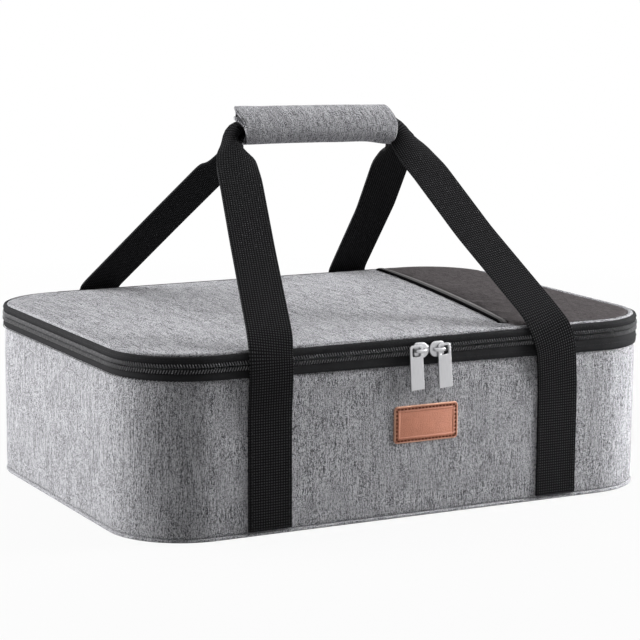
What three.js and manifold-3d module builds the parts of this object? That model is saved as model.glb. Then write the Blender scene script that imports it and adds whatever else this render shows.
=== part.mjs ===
// Insulated casserole carrier: a soft rectangular tub with a zipped lid, two webbing handles and a wrap grip.
// Millimetres, +Z up. X runs along the length, -Y is the front. The origin is the middle of the base.
import * as THREE from 'three';
import { mergeVertices } from 'three/addons/utils/BufferGeometryUtils.js';
import Module from 'manifold-3d';

const wasm = await Module();
wasm.setup();

// Driving dimensions of the box
const LENGTH = 420;
const DEPTH = 302;
const CORNER_RADIUS = 55;
const WALL_HEIGHT = 109;
const CLEARANCE = 0.3;
const FABRIC = 1.2;
const FOAM = 5.5;
const LINER = 0.8;
const CORNER_SEGMENTS = 6;

// Base
const BINDING_HEIGHT = 2.4;
const BINDING_PROUD = 0.8;
const BINDING_WIDTH = 3.4;
const BASE_FOAM = 5.5;

// Zip: a black tape on the wall and one on the lid, each with a coil row along its edge
const BODY_TAPE_HEIGHT = 7;
const LID_TAPE_HEIGHT = 5;
const TAPE_PROUD = 1.2;
const TAPE_THICKNESS = 2.6;
const ROW_HEIGHT = 2.4;
const ROW_PROUD = 0.8;
const ROW_THICKNESS = 2.6;
const ROW_GAP = 1.4;
const TOOTH_PITCH = 3;
const HINGE_MARGIN = 5;

// Lid
const PIPING_WIDTH = 3;
const PIPING_HEIGHT = 4;
const PIPING_PROUD = 1.2;
const LID_FOAM = 5.3;
const POCKET_FRONT_X = 76.5;
const POCKET_BACK_X = 132;
const POCKET_MESH = 0.8;
const POCKET_BINDING_WIDTH = 10;
const POCKET_BINDING_HEIGHT = 1.5;
const POCKET_BINDING_STOP = 22;

// Webbing handles
const WEBBING_WIDTH = 33;
const WEBBING = 1.8;
const STRAP_SPACING = 230;
const STRAP_SEWN_HEIGHT = 88;
const FOLDED_WIDTH = 15;
const RUN_GAP = 1.4;
const LEG_BULGE = 3;
const LEG_LEAN = 4.5;
const RIM_RISE = 6;
const STATION_STEPS = 3;

// Grip round both handles
const GRIP_LENGTH = 132;
const GRIP_X = -3.5;
const GRIP_HEIGHT = 263;
const WRAP_RADIUS = 11.5;
const FLAP_THICKNESS = 2.1;
const TAPE_LAYER = 0.5;
const FLAP_TIP_ANGLE = 14;
const STRIP_END_ANGLES = [24, 118];
const STRIP_LENGTH = 110;

// Patch on the front wall
const PATCH_LENGTH = 51.5;
const PATCH_HEIGHT = 26.5;
const PATCH_THICKNESS = 1.6;
const PATCH_RADIUS = 3;
const PATCH_X = 7;
const PATCH_Z = 67;

// Zip sliders, nose to nose on the front run, and the pulls that hang from them
const ZIP_MEETING_X = 7.4;
const SLIDER_LENGTH = 11.8;
const SLIDER_HEIGHT = 11.2;
const SLIDER_PLATE = 1.6;
const SLIDER_NOSE_GAP = 0.6;
const GUIDE_LENGTH = 3;
const ARCH_LENGTH = 9;
const ARCH_WIDTH = 2.6;
const ARCH_BAR = 1.5;
const ARCH_GAP = 2.2;
const PULL_LENGTH = 32;
const PULL_WIDTH = 10.8;
const PULL_THICKNESS = 1.4;
const PULL_HEAD_RADIUS = 4.2;
const PULL_EYE_RADIUS = 2.4;
const PULL_EYE_DROP = 3;
const PULL_SHOULDER = 6;

// Levels from the base up
const tapeBottom = WALL_HEIGHT + CLEARANCE;
const tapeTop = WALL_HEIGHT + BODY_TAPE_HEIGHT;
const rowBottom = tapeTop + CLEARANCE;
const rowTop = rowBottom + ROW_HEIGHT;
const lidRowBottom = rowTop + ROW_GAP;
const lidRowTop = lidRowBottom + ROW_HEIGHT;
const lidTapeBottom = lidRowTop + CLEARANCE;
const lidTop = lidTapeBottom + LID_TAPE_HEIGHT;
const split = (rowTop + lidRowBottom) / 2;

// Distances inward from the wall's outer face
const foamInset = FABRIC + CLEARANCE;
const linerInset = foamInset + FOAM + CLEARANCE;
const tapeInner = TAPE_THICKNESS - TAPE_PROUD;
const rowOuter = -TAPE_PROUD - ROW_PROUD;
const rowInner = rowOuter + ROW_THICKNESS;
const pipingInset = tapeInner + CLEARANCE;
const panelInset = pipingInset + PIPING_WIDTH + CLEARANCE;

const halfDepth = DEPTH / 2;
const baseFoamBottom = FABRIC + CLEARANCE;
const linerBottom = baseFoamBottom + BASE_FOAM + CLEARANCE;
const wallBottom = BINDING_HEIGHT + CLEARANCE;
const linerTop = tapeTop + 2 * CLEARANCE;
const panelBottom = lidTop - FABRIC;
const lidFoamBottom = panelBottom - CLEARANCE - LID_FOAM;

// Materials
const cloth = (color, roughness = 0.95) => new THREE.MeshStandardMaterial({ color, roughness, metalness: 0 });
const heather = cloth('#8d8e92');
const black = cloth('#17171a');
const webbing = cloth('#121214', 0.85);
const foam = cloth('#d9d9d4');
const foil = new THREE.MeshStandardMaterial({ color: '#c9ccd0', roughness: 0.3, metalness: 0.8 });
const meshCloth = cloth('#5b5757');
const leather = cloth('#a8602f', 0.6);
const satin = new THREE.MeshStandardMaterial({ color: '#cfd0d3', roughness: 0.35, metalness: 0.9 });

const carrier = new THREE.Group();

function named(name, geometry, material) {
  const mesh = new THREE.Mesh(geometry, material);
  mesh.name = name;
  return mesh;
}

const add = (name, geometry, material) => carrier.add(named(name, geometry, material));

// Closed solids for joining and cutting
function solid(geometry) {
  const bare = geometry.index ? geometry.toNonIndexed() : geometry.clone();
  for (const key of Object.keys(bare.attributes)) {
    if (key !== 'position') bare.deleteAttribute(key);
  }
  const merged = mergeVertices(bare, 1e-4);
  return new wasm.Manifold(new wasm.Mesh({
    numProp: 3,
    vertProperties: new Float32Array(merged.attributes.position.array),
    triVerts: new Uint32Array(merged.index.array),
  }));
}

function geometryOf(manifold) {
  const mesh = manifold.getMesh();
  const geometry = new THREE.BufferGeometry();
  geometry.setAttribute('position', new THREE.BufferAttribute(new Float32Array(mesh.vertProperties), 3));
  geometry.setIndex(new THREE.BufferAttribute(new Uint32Array(mesh.triVerts), 1));
  return geometry;
}

const cut = (geometry, tool) => geometryOf(solid(geometry).subtract(solid(tool)));
const common = (geometry, tool) => geometryOf(solid(geometry).intersect(solid(tool)));
const joined = (parts) => geometryOf(parts.map(solid).reduce((whole, part) => whole.add(part)));

// The carrier's plan outline, moved inward from the wall's outer face
function outline(inset, PathType = THREE.Shape) {
  const x = LENGTH / 2 - inset;
  const y = halfDepth - inset;
  const r = Math.max(CORNER_RADIUS - inset, FABRIC);
  const path = new PathType();
  path.moveTo(x - r, -y);
  path.absarc(x - r, -y + r, r, -Math.PI / 2, 0, false);
  path.absarc(x - r, y - r, r, 0, Math.PI / 2, false);
  path.absarc(-x + r, y - r, r, Math.PI / 2, Math.PI, false);
  path.absarc(-x + r, -y + r, r, Math.PI, 1.5 * Math.PI, false);
  path.closePath();
  return path;
}

function prism(shape, bottom, top) {
  const options = { depth: top - bottom, bevelEnabled: false, curveSegments: CORNER_SEGMENTS };
  return new THREE.ExtrudeGeometry(shape, options).translate(0, 0, bottom);
}

const sheet = (inset, bottom, top) => prism(outline(inset), bottom, top);

function band(outer, inner, bottom, top) {
  const shape = outline(outer);
  shape.holes.push(outline(inner, THREE.Path));
  return prism(shape, bottom, top);
}

function block(x0, x1, y0, y1, z0, z1) {
  const box = new THREE.BoxGeometry(x1 - x0, y1 - y0, z1 - z0);
  return box.translate((x0 + x1) / 2, (y0 + y1) / 2, (z0 + z1) / 2);
}

// Base
add('base_panel', sheet(BINDING_WIDTH - BINDING_PROUD + CLEARANCE, 0, FABRIC), heather);
add('base_binding', band(-BINDING_PROUD, BINDING_WIDTH - BINDING_PROUD, 0, BINDING_HEIGHT), heather);
add('base_foam', sheet(linerInset, baseFoamBottom, linerBottom - CLEARANCE), foam);

// Walls: heather cloth outside, foam between, foil liner inside
add('wall_shell', band(0, FABRIC, wallBottom, WALL_HEIGHT), heather);
add('wall_foam', band(foamInset, foamInset + FOAM, wallBottom, tapeTop), foam);
const tub = sheet(linerInset, linerBottom, linerTop);
const tubHollow = sheet(linerInset + LINER, linerBottom + LINER, linerTop + LINER);
add('foil_liner', cut(tub, tubHollow), foil);

// Zip tapes and coil rows run round the front and the ends and stop beside the hinge
const hingeHalf = LENGTH / 2 - CORNER_RADIUS - HINGE_MARGIN;
const hingeSlot = block(-hingeHalf, hingeHalf, 0, DEPTH, 0, 2 * lidTop);
const zipTape = (bottom, top) => cut(band(-TAPE_PROUD, tapeInner, bottom, top), hingeSlot);
add('body_zip_tape', zipTape(tapeBottom, tapeTop), black);
add('lid_zip_tape', zipTape(lidTapeBottom, lidTop), black);

// A tooth for each turn of the coil, its root level with the tape; the two rows stand half a pitch apart
function coilRow(bottom, top, halfPitches) {
  const crest = outline(rowOuter);
  const steps = 2 * Math.round(crest.getLength() / TOOTH_PITCH);
  const points = [];
  for (let i = 0; i < steps; i += 1) {
    const at = i / steps;
    const point = crest.getPoint(at);
    const along = crest.getTangent(at);
    const depth = (i + halfPitches) % 2 ? ROW_PROUD : 0;
    points.push(point.add(new THREE.Vector2(-along.y, along.x).multiplyScalar(depth)));
  }
  const shape = new THREE.Shape(points);
  shape.holes.push(outline(rowInner, THREE.Path));
  return cut(prism(shape, bottom, top), hingeSlot);
}
add('body_zip_row', coilRow(rowBottom, rowTop, 0), black);
add('lid_zip_row', coilRow(lidRowBottom, lidRowTop, 1), black);

// The cloth strip at the back that the lid folds on
const gussetHalf = hingeHalf - CLEARANCE;
const gussetInner = halfDepth - tapeInner;
const gussetOuter = halfDepth + TAPE_PROUD;
add('hinge_gusset', block(-gussetHalf, gussetHalf, gussetInner, gussetOuter, tapeBottom, lidTop), black);

// Lid
add('lid_panel', sheet(panelInset, panelBottom, lidTop), heather);
add('lid_foam', sheet(panelInset, lidFoamBottom, panelBottom - CLEARANCE), foam);
add('lid_liner', sheet(panelInset, lidFoamBottom - CLEARANCE - LINER, lidFoamBottom - CLEARANCE), foil);
const pipingTop = lidTop + PIPING_PROUD;
add('lid_piping', band(pipingInset, pipingInset + PIPING_WIDTH, pipingTop - PIPING_HEIGHT, pipingTop), heather);

// Mesh pocket over the lid's right-hand part, its mouth bound along a slanting line
function pocketSide(shift, width) {
  const frontX = POCKET_FRONT_X + shift;
  const backX = POCKET_BACK_X + shift;
  const slope = (backX - frontX) / DEPTH;
  const shape = new THREE.Shape();
  shape.moveTo(frontX - slope * DEPTH, -1.5 * DEPTH);
  shape.lineTo(frontX - slope * DEPTH + width, -1.5 * DEPTH);
  shape.lineTo(backX + slope * DEPTH + width, 1.5 * DEPTH);
  shape.lineTo(backX + slope * DEPTH, 1.5 * DEPTH);
  shape.closePath();
  return prism(shape, 0, 2 * lidTop);
}
const pocketBottom = lidTop + CLEARANCE;
const pocketInset = panelInset + CLEARANCE;
const meshSide = pocketSide(POCKET_BINDING_WIDTH + CLEARANCE, LENGTH);
const bindingSide = pocketSide(0, POCKET_BINDING_WIDTH);
add('mesh_pocket', common(sheet(pocketInset, pocketBottom, pocketBottom + POCKET_MESH), meshSide), meshCloth);
const bindingTop = pocketBottom + POCKET_BINDING_HEIGHT;
const bindingStop = block(0, LENGTH, POCKET_BINDING_STOP - halfDepth, DEPTH, 0, 2 * lidTop);
const bindingStrip = common(bindingSide, bindingStop);
add('pocket_binding', common(sheet(pocketInset, pocketBottom, bindingTop), bindingStrip), black);

// Webbing sewn flat to the walls, one length under each handle leg
const sewnInner = halfDepth + CLEARANCE;
const strapHalf = STRAP_SPACING / 2;
const sewnBottom = wallBottom + CLEARANCE;
const sewnTop = STRAP_SEWN_HEIGHT - WEBBING / 2 - CLEARANCE;
for (const [end, sideY] of [['front', -1], ['rear', 1]]) {
  for (const [hand, sideX] of [['left', -1], ['right', 1]]) {
    const x = sideX * strapHalf;
    const y0 = Math.min(sideY * sewnInner, sideY * (sewnInner + WEBBING));
    const strip = block(x - WEBBING_WIDTH / 2, x + WEBBING_WIDTH / 2, y0, y0 + WEBBING, sewnBottom, sewnTop);
    add(`${end}_${hand}_strap_base`, strip, webbing);
  }
}

// A flat strip swept through stations, each with its own place, normal, width and thickness
function sweptStrip(stations) {
  const positions = [];
  for (const { place, across, normal, width, thickness } of stations) {
    for (const [u, v] of [[-1, -1], [1, -1], [1, 1], [-1, 1]]) {
      const corner = place.clone();
      corner.addScaledVector(across, (u * width) / 2);
      corner.addScaledVector(normal, (v * thickness) / 2);
      positions.push(corner.x, corner.y, corner.z);
    }
  }
  const index = [0, 1, 2, 0, 2, 3];
  const last = 4 * (stations.length - 1);
  for (let ring = 0; ring < last; ring += 4) {
    for (let side = 0; side < 4; side += 1) {
      const a = ring + side;
      const b = ring + ((side + 1) % 4);
      index.push(a, b + 4, b, a, a + 4, b + 4);
    }
  }
  index.push(last, last + 2, last + 1, last, last + 3, last + 2);
  const geometry = new THREE.BufferGeometry();
  geometry.setAttribute('position', new THREE.Float32BufferAttribute(positions, 3));
  geometry.setIndex(index);
  return geometry;
}

// A handle: up the wall from its sewn end, in over the lid's edge, up to the grip, folded through it and back
const folded = 2 * WEBBING;
const runY = (RUN_GAP + folded) / 2;
const rimY = halfDepth - rowOuter + CLEARANCE + WEBBING;
const wallY = sewnInner + WEBBING / 2;
const gripHalf = GRIP_LENGTH / 2;
function handle(sideY) {
  const bendX = gripHalf + 0.8 * FOLDED_WIDTH;
  const bendY = runY + 1.6 * FOLDED_WIDTH;
  const bendZ = GRIP_HEIGHT - 1.5 * FOLDED_WIDTH;
  const neck = 0.8 * FOLDED_WIDTH;
  const rimX = strapHalf - LEG_LEAN;
  const rimZ = lidTop + RIM_RISE;
  const middle = new THREE.Vector3(
    (rimX + bendX) / 2,
    (halfDepth + bendY) / 2 + LEG_BULGE,
    (rimZ + bendZ) / 2 + LEG_BULGE,
  );
  const outward = new THREE.Vector3(0, 1, 0);
  const leaning = new THREE.Vector3(0, bendZ - rimZ, halfDepth - bendY).normalize();
  const legTo = (gripEnd) => [
    [new THREE.Vector3(strapHalf, wallY, STRAP_SEWN_HEIGHT), outward, WEBBING_WIDTH, WEBBING],
    [new THREE.Vector3(strapHalf - LEG_LEAN / 4, rimY, tapeTop), outward, WEBBING_WIDTH, WEBBING],
    [new THREE.Vector3(strapHalf - LEG_LEAN / 2, rimY, lidTop), outward, WEBBING_WIDTH, WEBBING],
    [new THREE.Vector3(rimX, halfDepth - RIM_RISE, rimZ + RIM_RISE), leaning, WEBBING_WIDTH, WEBBING],
    [middle, leaning, WEBBING_WIDTH, WEBBING],
    [new THREE.Vector3(bendX, bendY, bendZ), leaning, WEBBING_WIDTH, WEBBING],
    [new THREE.Vector3(gripEnd + neck, runY + neck, GRIP_HEIGHT - neck), leaning, (WEBBING_WIDTH + FOLDED_WIDTH) / 2, WEBBING],
    [new THREE.Vector3(gripEnd + FOLDED_WIDTH / 2.5, runY + RUN_GAP / 2, GRIP_HEIGHT - RUN_GAP / 2), outward, FOLDED_WIDTH, folded],
    [new THREE.Vector3(gripEnd + CLEARANCE, runY, GRIP_HEIGHT), outward, FOLDED_WIDTH, folded],
    [new THREE.Vector3(gripHalf - FOLDED_WIDTH, runY, GRIP_HEIGHT), outward, FOLDED_WIDTH, folded],
  ];
  const ends = [gripHalf + GRIP_X, gripHalf - GRIP_X];
  const [rightEnd, leftEnd] = sideY > 0 ? ends : ends.reverse();
  const mirrored = legTo(leftEnd).map(([p, n, w, t]) => [new THREE.Vector3(-p.x, p.y, p.z), n, w, t]).reverse();
  const controls = [...legTo(rightEnd), ...mirrored];
  const curve = new THREE.CatmullRomCurve3(controls.map(([p]) => p), false, 'centripetal');
  const steps = STATION_STEPS * (controls.length - 1);
  const stations = [];
  for (let i = 0; i <= steps; i += 1) {
    const t = i / steps;
    const at = Math.min(t * (controls.length - 1), controls.length - 1 - 1e-9);
    const k = Math.floor(at);
    const f = THREE.MathUtils.smoothstep(at - k, 0, 1);
    const [, n0, w0, t0] = controls[k];
    const [, n1, w1, t1] = controls[k + 1];
    const place = curve.getPoint(t);
    const along = curve.getTangent(t);
    const normal = n0.clone().lerp(n1, f);
    normal.addScaledVector(along, -normal.dot(along)).normalize();
    const across = along.clone().cross(normal);
    stations.push({
      place,
      across,
      normal,
      width: THREE.MathUtils.lerp(w0, w1, f),
      thickness: THREE.MathUtils.lerp(t0, t1, f),
    });
  }
  const geometry = sweptStrip(stations);
  return sideY > 0 ? geometry : geometry.rotateZ(Math.PI);
}
add('front_strap', handle(-1), webbing);
add('rear_strap', handle(1), webbing);

// The grip is drawn in the Y-Z plane and run out along X
function alongX(shape, length) {
  const options = { depth: length, bevelEnabled: false, curveSegments: 2 * CORNER_SEGMENTS };
  const geometry = new THREE.ExtrudeGeometry(shape, options).translate(0, 0, -length / 2);
  return geometry.rotateX(Math.PI / 2).rotateZ(Math.PI / 2).translate(GRIP_X, 0, GRIP_HEIGHT);
}

const flapInner = WRAP_RADIUS + 2 * TAPE_LAYER + 3 * CLEARANCE;
const flapOuter = flapInner + FLAP_THICKNESS;
const radians = THREE.MathUtils.degToRad;

function arcBand(inner, outer, from, to) {
  const shape = new THREE.Shape();
  shape.absarc(0, 0, outer, radians(from), radians(to), false);
  shape.absarc(0, 0, inner, radians(to), radians(from), true);
  shape.closePath();
  return shape;
}

// The wrap's front is as thick as the flap that carries on from it over the top
const wrap = new THREE.Shape();
wrap.moveTo(-WRAP_RADIUS, 0);
wrap.lineTo(-flapOuter, 0);
wrap.absellipse(0, 0, flapOuter, WRAP_RADIUS, Math.PI, 1.5 * Math.PI, false, 0);
wrap.absarc(0, 0, WRAP_RADIUS, 1.5 * Math.PI, 3 * Math.PI, false);
wrap.closePath();
const bore = new THREE.Path();
const boreY = runY + folded / 2 + CLEARANCE;
const boreZ = FOLDED_WIDTH / 2 + CLEARANCE;
bore.moveTo(-boreY, -boreZ);
bore.lineTo(boreY, -boreZ);
bore.lineTo(boreY, boreZ);
bore.lineTo(-boreY, boreZ);
bore.closePath();
wrap.holes.push(bore);
add('grip_wrap', alongX(wrap, GRIP_LENGTH), heather);

const flapEnd = 180 - THREE.MathUtils.radToDeg(CLEARANCE / flapOuter);
add('grip_flap', alongX(arcBand(flapInner, flapOuter, FLAP_TIP_ANGLE, flapEnd), GRIP_LENGTH), heather);
const [stripFrom, stripTo] = STRIP_END_ANGLES;
const loopInner = WRAP_RADIUS + CLEARANCE;
const hookInner = loopInner + TAPE_LAYER + CLEARANCE;
const loopStrip = arcBand(loopInner, loopInner + TAPE_LAYER, stripFrom, stripTo);
const hookStrip = arcBand(hookInner, hookInner + TAPE_LAYER, stripFrom, stripTo);
add('grip_loop_strip', alongX(loopStrip, STRIP_LENGTH), black);
add('grip_hook_strip', alongX(hookStrip, STRIP_LENGTH), black);

// Faces turned to the front: drawn in X-Z and pushed out towards -Y from the plane y = -back
function facing(shape, back, thickness) {
  const options = { depth: thickness, bevelEnabled: false, curveSegments: CORNER_SEGMENTS };
  return new THREE.ExtrudeGeometry(shape, options).rotateX(Math.PI / 2).translate(0, -back, 0);
}

function roundedPlate(width, height, radius) {
  const x = width / 2 - radius;
  const z = height / 2 - radius;
  const shape = new THREE.Shape();
  shape.absarc(x, -z, radius, -Math.PI / 2, 0, false);
  shape.absarc(x, z, radius, 0, Math.PI / 2, false);
  shape.absarc(-x, z, radius, Math.PI / 2, Math.PI, false);
  shape.absarc(-x, -z, radius, Math.PI, 1.5 * Math.PI, false);
  shape.closePath();
  return shape;
}

const patch = facing(roundedPlate(PATCH_LENGTH, PATCH_HEIGHT, PATCH_RADIUS), sewnInner, PATCH_THICKNESS);
add('leather_patch', patch.translate(PATCH_X, 0, PATCH_Z), leather);

// One slider: a plate over the coil rows, a guide between them, a plate behind and an arch for the pull.
// Drawn with its nose towards +X at the origin of its own group; the other one is turned end for end.
const rowFront = halfDepth - rowOuter;
const rowBack = halfDepth - rowInner;
const plateBack = rowFront + CLEARANCE;
const plateFront = plateBack + SLIDER_PLATE;
const guideHeight = ROW_GAP - 2 * CLEARANCE;
const backPlateFront = rowBack - CLEARANCE;
const backPlateBack = backPlateFront - FABRIC;
const backPlateHalf = ROW_GAP / 2 + ROW_HEIGHT / 2;
const pullBack = plateFront + (ARCH_GAP - PULL_THICKNESS) / 2;

function sliderPlate() {
  const noseX = SLIDER_LENGTH / 2;
  const r = SLIDER_HEIGHT / 2;
  const tail = r / 2;
  const shape = new THREE.Shape();
  shape.absarc(noseX - r, 0, r, -Math.PI / 2, Math.PI / 2, false);
  shape.absarc(-noseX + tail, r - tail, tail, Math.PI / 2, Math.PI, false);
  shape.absarc(-noseX + tail, -r + tail, tail, Math.PI, 1.5 * Math.PI, false);
  shape.closePath();
  return facing(shape, plateBack, SLIDER_PLATE);
}

function sliderArch() {
  const shape = new THREE.Shape();
  const root = -plateFront + CLEARANCE;
  const top = -plateFront - ARCH_GAP - ARCH_BAR;
  const left = -SLIDER_LENGTH / 2;
  const right = left + ARCH_LENGTH;
  const r = ARCH_BAR;
  shape.moveTo(left, root);
  shape.absarc(left + r, top + r, r, Math.PI, 1.5 * Math.PI, false);
  shape.absarc(right - r, top + r, r, 1.5 * Math.PI, 2 * Math.PI, false);
  shape.lineTo(right, root);
  shape.lineTo(right - ARCH_BAR, root);
  shape.lineTo(right - ARCH_BAR, -plateFront - ARCH_GAP);
  shape.lineTo(left + ARCH_BAR, -plateFront - ARCH_GAP);
  shape.lineTo(left + ARCH_BAR, root);
  shape.closePath();
  return prism(shape, -ARCH_WIDTH / 2, ARCH_WIDTH / 2);
}

function slider() {
  const noseX = SLIDER_LENGTH / 2;
  const guide = block(
    noseX - 2 * GUIDE_LENGTH, noseX - GUIDE_LENGTH,
    -plateBack - CLEARANCE, -backPlateBack,
    -guideHeight / 2, guideHeight / 2,
  );
  const behind = block(
    -noseX + GUIDE_LENGTH, noseX - GUIDE_LENGTH,
    -backPlateFront, -backPlateBack,
    -backPlateHalf, backPlateHalf,
  );
  return joined([sliderPlate(), sliderArch(), guide, behind]);
}

// A pull hangs by its eye from the arch's outer post
const postX = -SLIDER_LENGTH / 2 + ARCH_BAR / 2;
function pull() {
  const half = PULL_WIDTH / 2;
  const corner = half / 4;
  const low = PULL_HEAD_RADIUS - PULL_LENGTH;
  const shape = new THREE.Shape();
  shape.absarc(0, 0, PULL_HEAD_RADIUS, 0, Math.PI, false);
  shape.lineTo(-half, -PULL_SHOULDER);
  shape.absarc(-half + corner, low + corner, corner, Math.PI, 1.5 * Math.PI, false);
  shape.absarc(half - corner, low + corner, corner, 1.5 * Math.PI, 2 * Math.PI, false);
  shape.lineTo(half, -PULL_SHOULDER);
  shape.closePath();
  const eye = new THREE.Path();
  eye.absarc(0, 0, PULL_EYE_RADIUS, 0, Math.PI, false);
  eye.absarc(0, -PULL_EYE_DROP, PULL_EYE_RADIUS, Math.PI, 2 * Math.PI, false);
  eye.closePath();
  shape.holes.push(eye);
  return facing(shape, pullBack, PULL_THICKNESS);
}

for (const [hand, side] of [['left', 1], ['right', -1]]) {
  const place = new THREE.Group();
  place.position.set(ZIP_MEETING_X - side * (SLIDER_LENGTH + SLIDER_NOSE_GAP) / 2, 0, split);
  carrier.add(place);
  const body = side > 0 ? slider() : slider().rotateY(Math.PI);
  place.add(named(`${hand}_slider`, body, satin));
  place.add(named(`${hand}_pull`, pull().translate(side * postX, 0, 0), satin));
}

export default carrier;
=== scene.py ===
import math

import bmesh
import bpy
from mathutils import Matrix, Vector, noise


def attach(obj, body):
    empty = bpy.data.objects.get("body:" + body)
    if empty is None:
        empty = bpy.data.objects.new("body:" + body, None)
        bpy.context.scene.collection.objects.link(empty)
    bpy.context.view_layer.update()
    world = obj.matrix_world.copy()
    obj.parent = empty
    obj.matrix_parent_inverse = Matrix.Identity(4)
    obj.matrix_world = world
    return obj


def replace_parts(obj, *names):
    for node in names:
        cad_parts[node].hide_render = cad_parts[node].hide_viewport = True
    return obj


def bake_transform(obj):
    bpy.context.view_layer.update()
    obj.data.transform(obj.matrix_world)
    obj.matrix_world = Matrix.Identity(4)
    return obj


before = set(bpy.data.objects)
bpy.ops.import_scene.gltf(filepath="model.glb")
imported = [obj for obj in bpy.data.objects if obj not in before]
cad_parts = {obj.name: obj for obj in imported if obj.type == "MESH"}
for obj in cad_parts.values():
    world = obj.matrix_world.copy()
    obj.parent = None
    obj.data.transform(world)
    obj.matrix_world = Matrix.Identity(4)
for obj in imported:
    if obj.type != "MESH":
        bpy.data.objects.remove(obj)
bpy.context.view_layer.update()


# Base: a panel of heather polyester under a sheet of foam, cut to the carrier's rounded plan.
# Its edge is rolled into a binding of the same cloth that also takes the foot of the walls.
MM = 0.001
LENGTH, DEPTH, CORNER = 420 * MM, 302 * MM, 55 * MM
INNER_CORNER, INNER_TIGHTENING, FULLEST_CORNER = 0.7 * CORNER, 0.22, 0.7
LONG_CUTS, SHORT_CUTS, CORNER_STEPS = 39, 25, 14
FOUR_CORNERS = ((1, -1), (1, 1), (-1, 1), (-1, -1))
CENTRE_INSET = 140
LOFT_STEP = 0.1
IN_LINE = 1e-7
HEATHER_DARK, HEATHER_LIGHT = (0.04, 0.04, 0.044, 1), (0.58, 0.58, 0.606, 1)


def round_off(bm, geom, offset, segments, affect):
    """A round bevel, of corners in a flat face (VERTICES) or of edges (EDGES)."""
    bmesh.ops.bevel(
        bm, geom=geom, offset=offset, offset_type="OFFSET", segments=segments,
        profile=0.5, affect=affect, material=-1,
    )


def plan_loop(bm, inset, z):
    """One closed edge loop of the carrier's plan, set in from the wall's outer face.

    Well inside, its corners tighten more slowly than it shrinks, so that they stay round.
    """
    before = set(bm.edges)
    half_x, half_y = LENGTH / 2 - inset, DEPTH / 2 - inset
    radius = max(CORNER - inset, INNER_CORNER - INNER_TIGHTENING * inset)
    corners = [bm.verts.new((x * half_x, y * half_y, z)) for x, y in FOUR_CORNERS]
    bm.faces.new(corners)
    round_off(bm, corners, min(radius, FULLEST_CORNER * half_y), CORNER_STEPS, "VERTICES")
    loop = [e for e in bm.edges if e not in before]
    bmesh.ops.delete(bm, geom=list({f for e in loop for f in e.link_faces}), context="FACES_ONLY")
    for across, cuts in ((1, LONG_CUTS), (0, SHORT_CUTS)):
        straight = [e for e in loop if abs(e.verts[0].co[across] - e.verts[1].co[across]) < IN_LINE]
        bmesh.ops.subdivide_edges(bm, edges=straight, cuts=cuts)
        loop = [e for e in bm.edges if e not in before]
    return loop


def loft(levels, ring=False):
    """A closed skin through plan loops at levels of (inset, height) in mm.

    A ring joins its last level to its first, and other skins are closed by a face at each end. The loops are
    joined while they stand well apart, as level ones would be joined crosswise, and then let down.
    """
    bm = bmesh.new()
    loops = [plan_loop(bm, inset * MM, step * LOFT_STEP) for step, (inset, _) in enumerate(levels)]
    rows = [{v for e in loop for v in e.verts} for loop in loops]
    for low, high in zip(loops, loops[1:] + loops[:1] if ring else loops[1:]):
        bmesh.ops.bridge_loops(bm, edges=low + high)
    if not ring:
        for end in (loops[0], loops[-1]):
            bmesh.ops.contextual_create(bm, geom=end)
    for row, (_, z) in zip(rows, levels):
        for v in row:
            v.co.z = z * MM
    bmesh.ops.recalc_face_normals(bm, faces=bm.faces)
    return bm


def piece(name, bm, finish, sharp=45):
    """A finished object at the origin, shaded smooth but for edges sharper than the given angle."""
    mesh = bpy.data.meshes.new(name)
    bm.to_mesh(mesh)
    bm.free()
    mesh.shade_smooth()
    mesh.set_sharp_from_angle(angle=math.radians(sharp))
    mesh.materials.append(finish)
    made = bpy.data.objects.new(name, mesh)
    bpy.context.scene.collection.objects.link(made)
    return made


def put(tree, kind, settings=(), **inputs):
    """One shader node; an input is a number, a colour or another node's output, and i0, i1 go by place."""
    made = tree.nodes.new("ShaderNode" + kind)
    for key, value in dict(settings).items():
        setattr(made, key, value)
    for key, value in inputs.items():
        place = int(key[1:]) if key[1:].isdigit() else key.replace("_", " ")
        socket = made.inputs[place]
        if isinstance(value, bpy.types.NodeSocket):
            tree.links.new(value, socket)
        else:
            socket.default_value = value
    return made


def sums(tree, operation, *values):
    """One step of arithmetic on numbers or on other nodes' outputs."""
    inputs = {f"i{place}": value for place, value in enumerate(values)}
    return put(tree, "Math", {"operation": operation}, **inputs).outputs[0]


def ramp(tree, value, low=0.0, high=1.0, to_low=0.0, to_high=1.0):
    """Spreads the values between low and high over another range, and holds them at its ends."""
    spread = {"From_Min": low, "From_Max": high, "To_Min": to_low, "To_Max": to_high}
    return put(tree, "MapRange", Value=value, **spread).outputs[0]


def streaks(tree, vector, size, detail=2.0):
    """Noise whose grains have the given size in mm along each axis."""
    scaled = put(tree, "VectorMath", {"operation": "DIVIDE"}, i0=vector, i1=[s * MM for s in size])
    grains = put(tree, "TexNoise", Vector=scaled.outputs[0], Scale=1.0, Detail=detail, Roughness=0.6)
    return grains.outputs[0]


def tint(tree, factor, dark, light):
    """A colour between dark and light."""
    return put(tree, "Mix", {"data_type": "RGBA"}, i0=factor, i6=dark, i7=light).outputs[2]


def effect(name, inputs, outputs):
    """An empty shader node group with its inputs and outputs named."""
    tree = bpy.data.node_groups.new(name, "ShaderNodeTree")
    for side, sockets in (("INPUT", inputs), ("OUTPUT", outputs)):
        for socket, kind in sockets.items():
            tree.interface.new_socket(socket, in_out=side, socket_type="NodeSocket" + kind)
    return tree, tree.nodes.new("NodeGroupInput").outputs, tree.nodes.new("NodeGroupOutput").inputs


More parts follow.
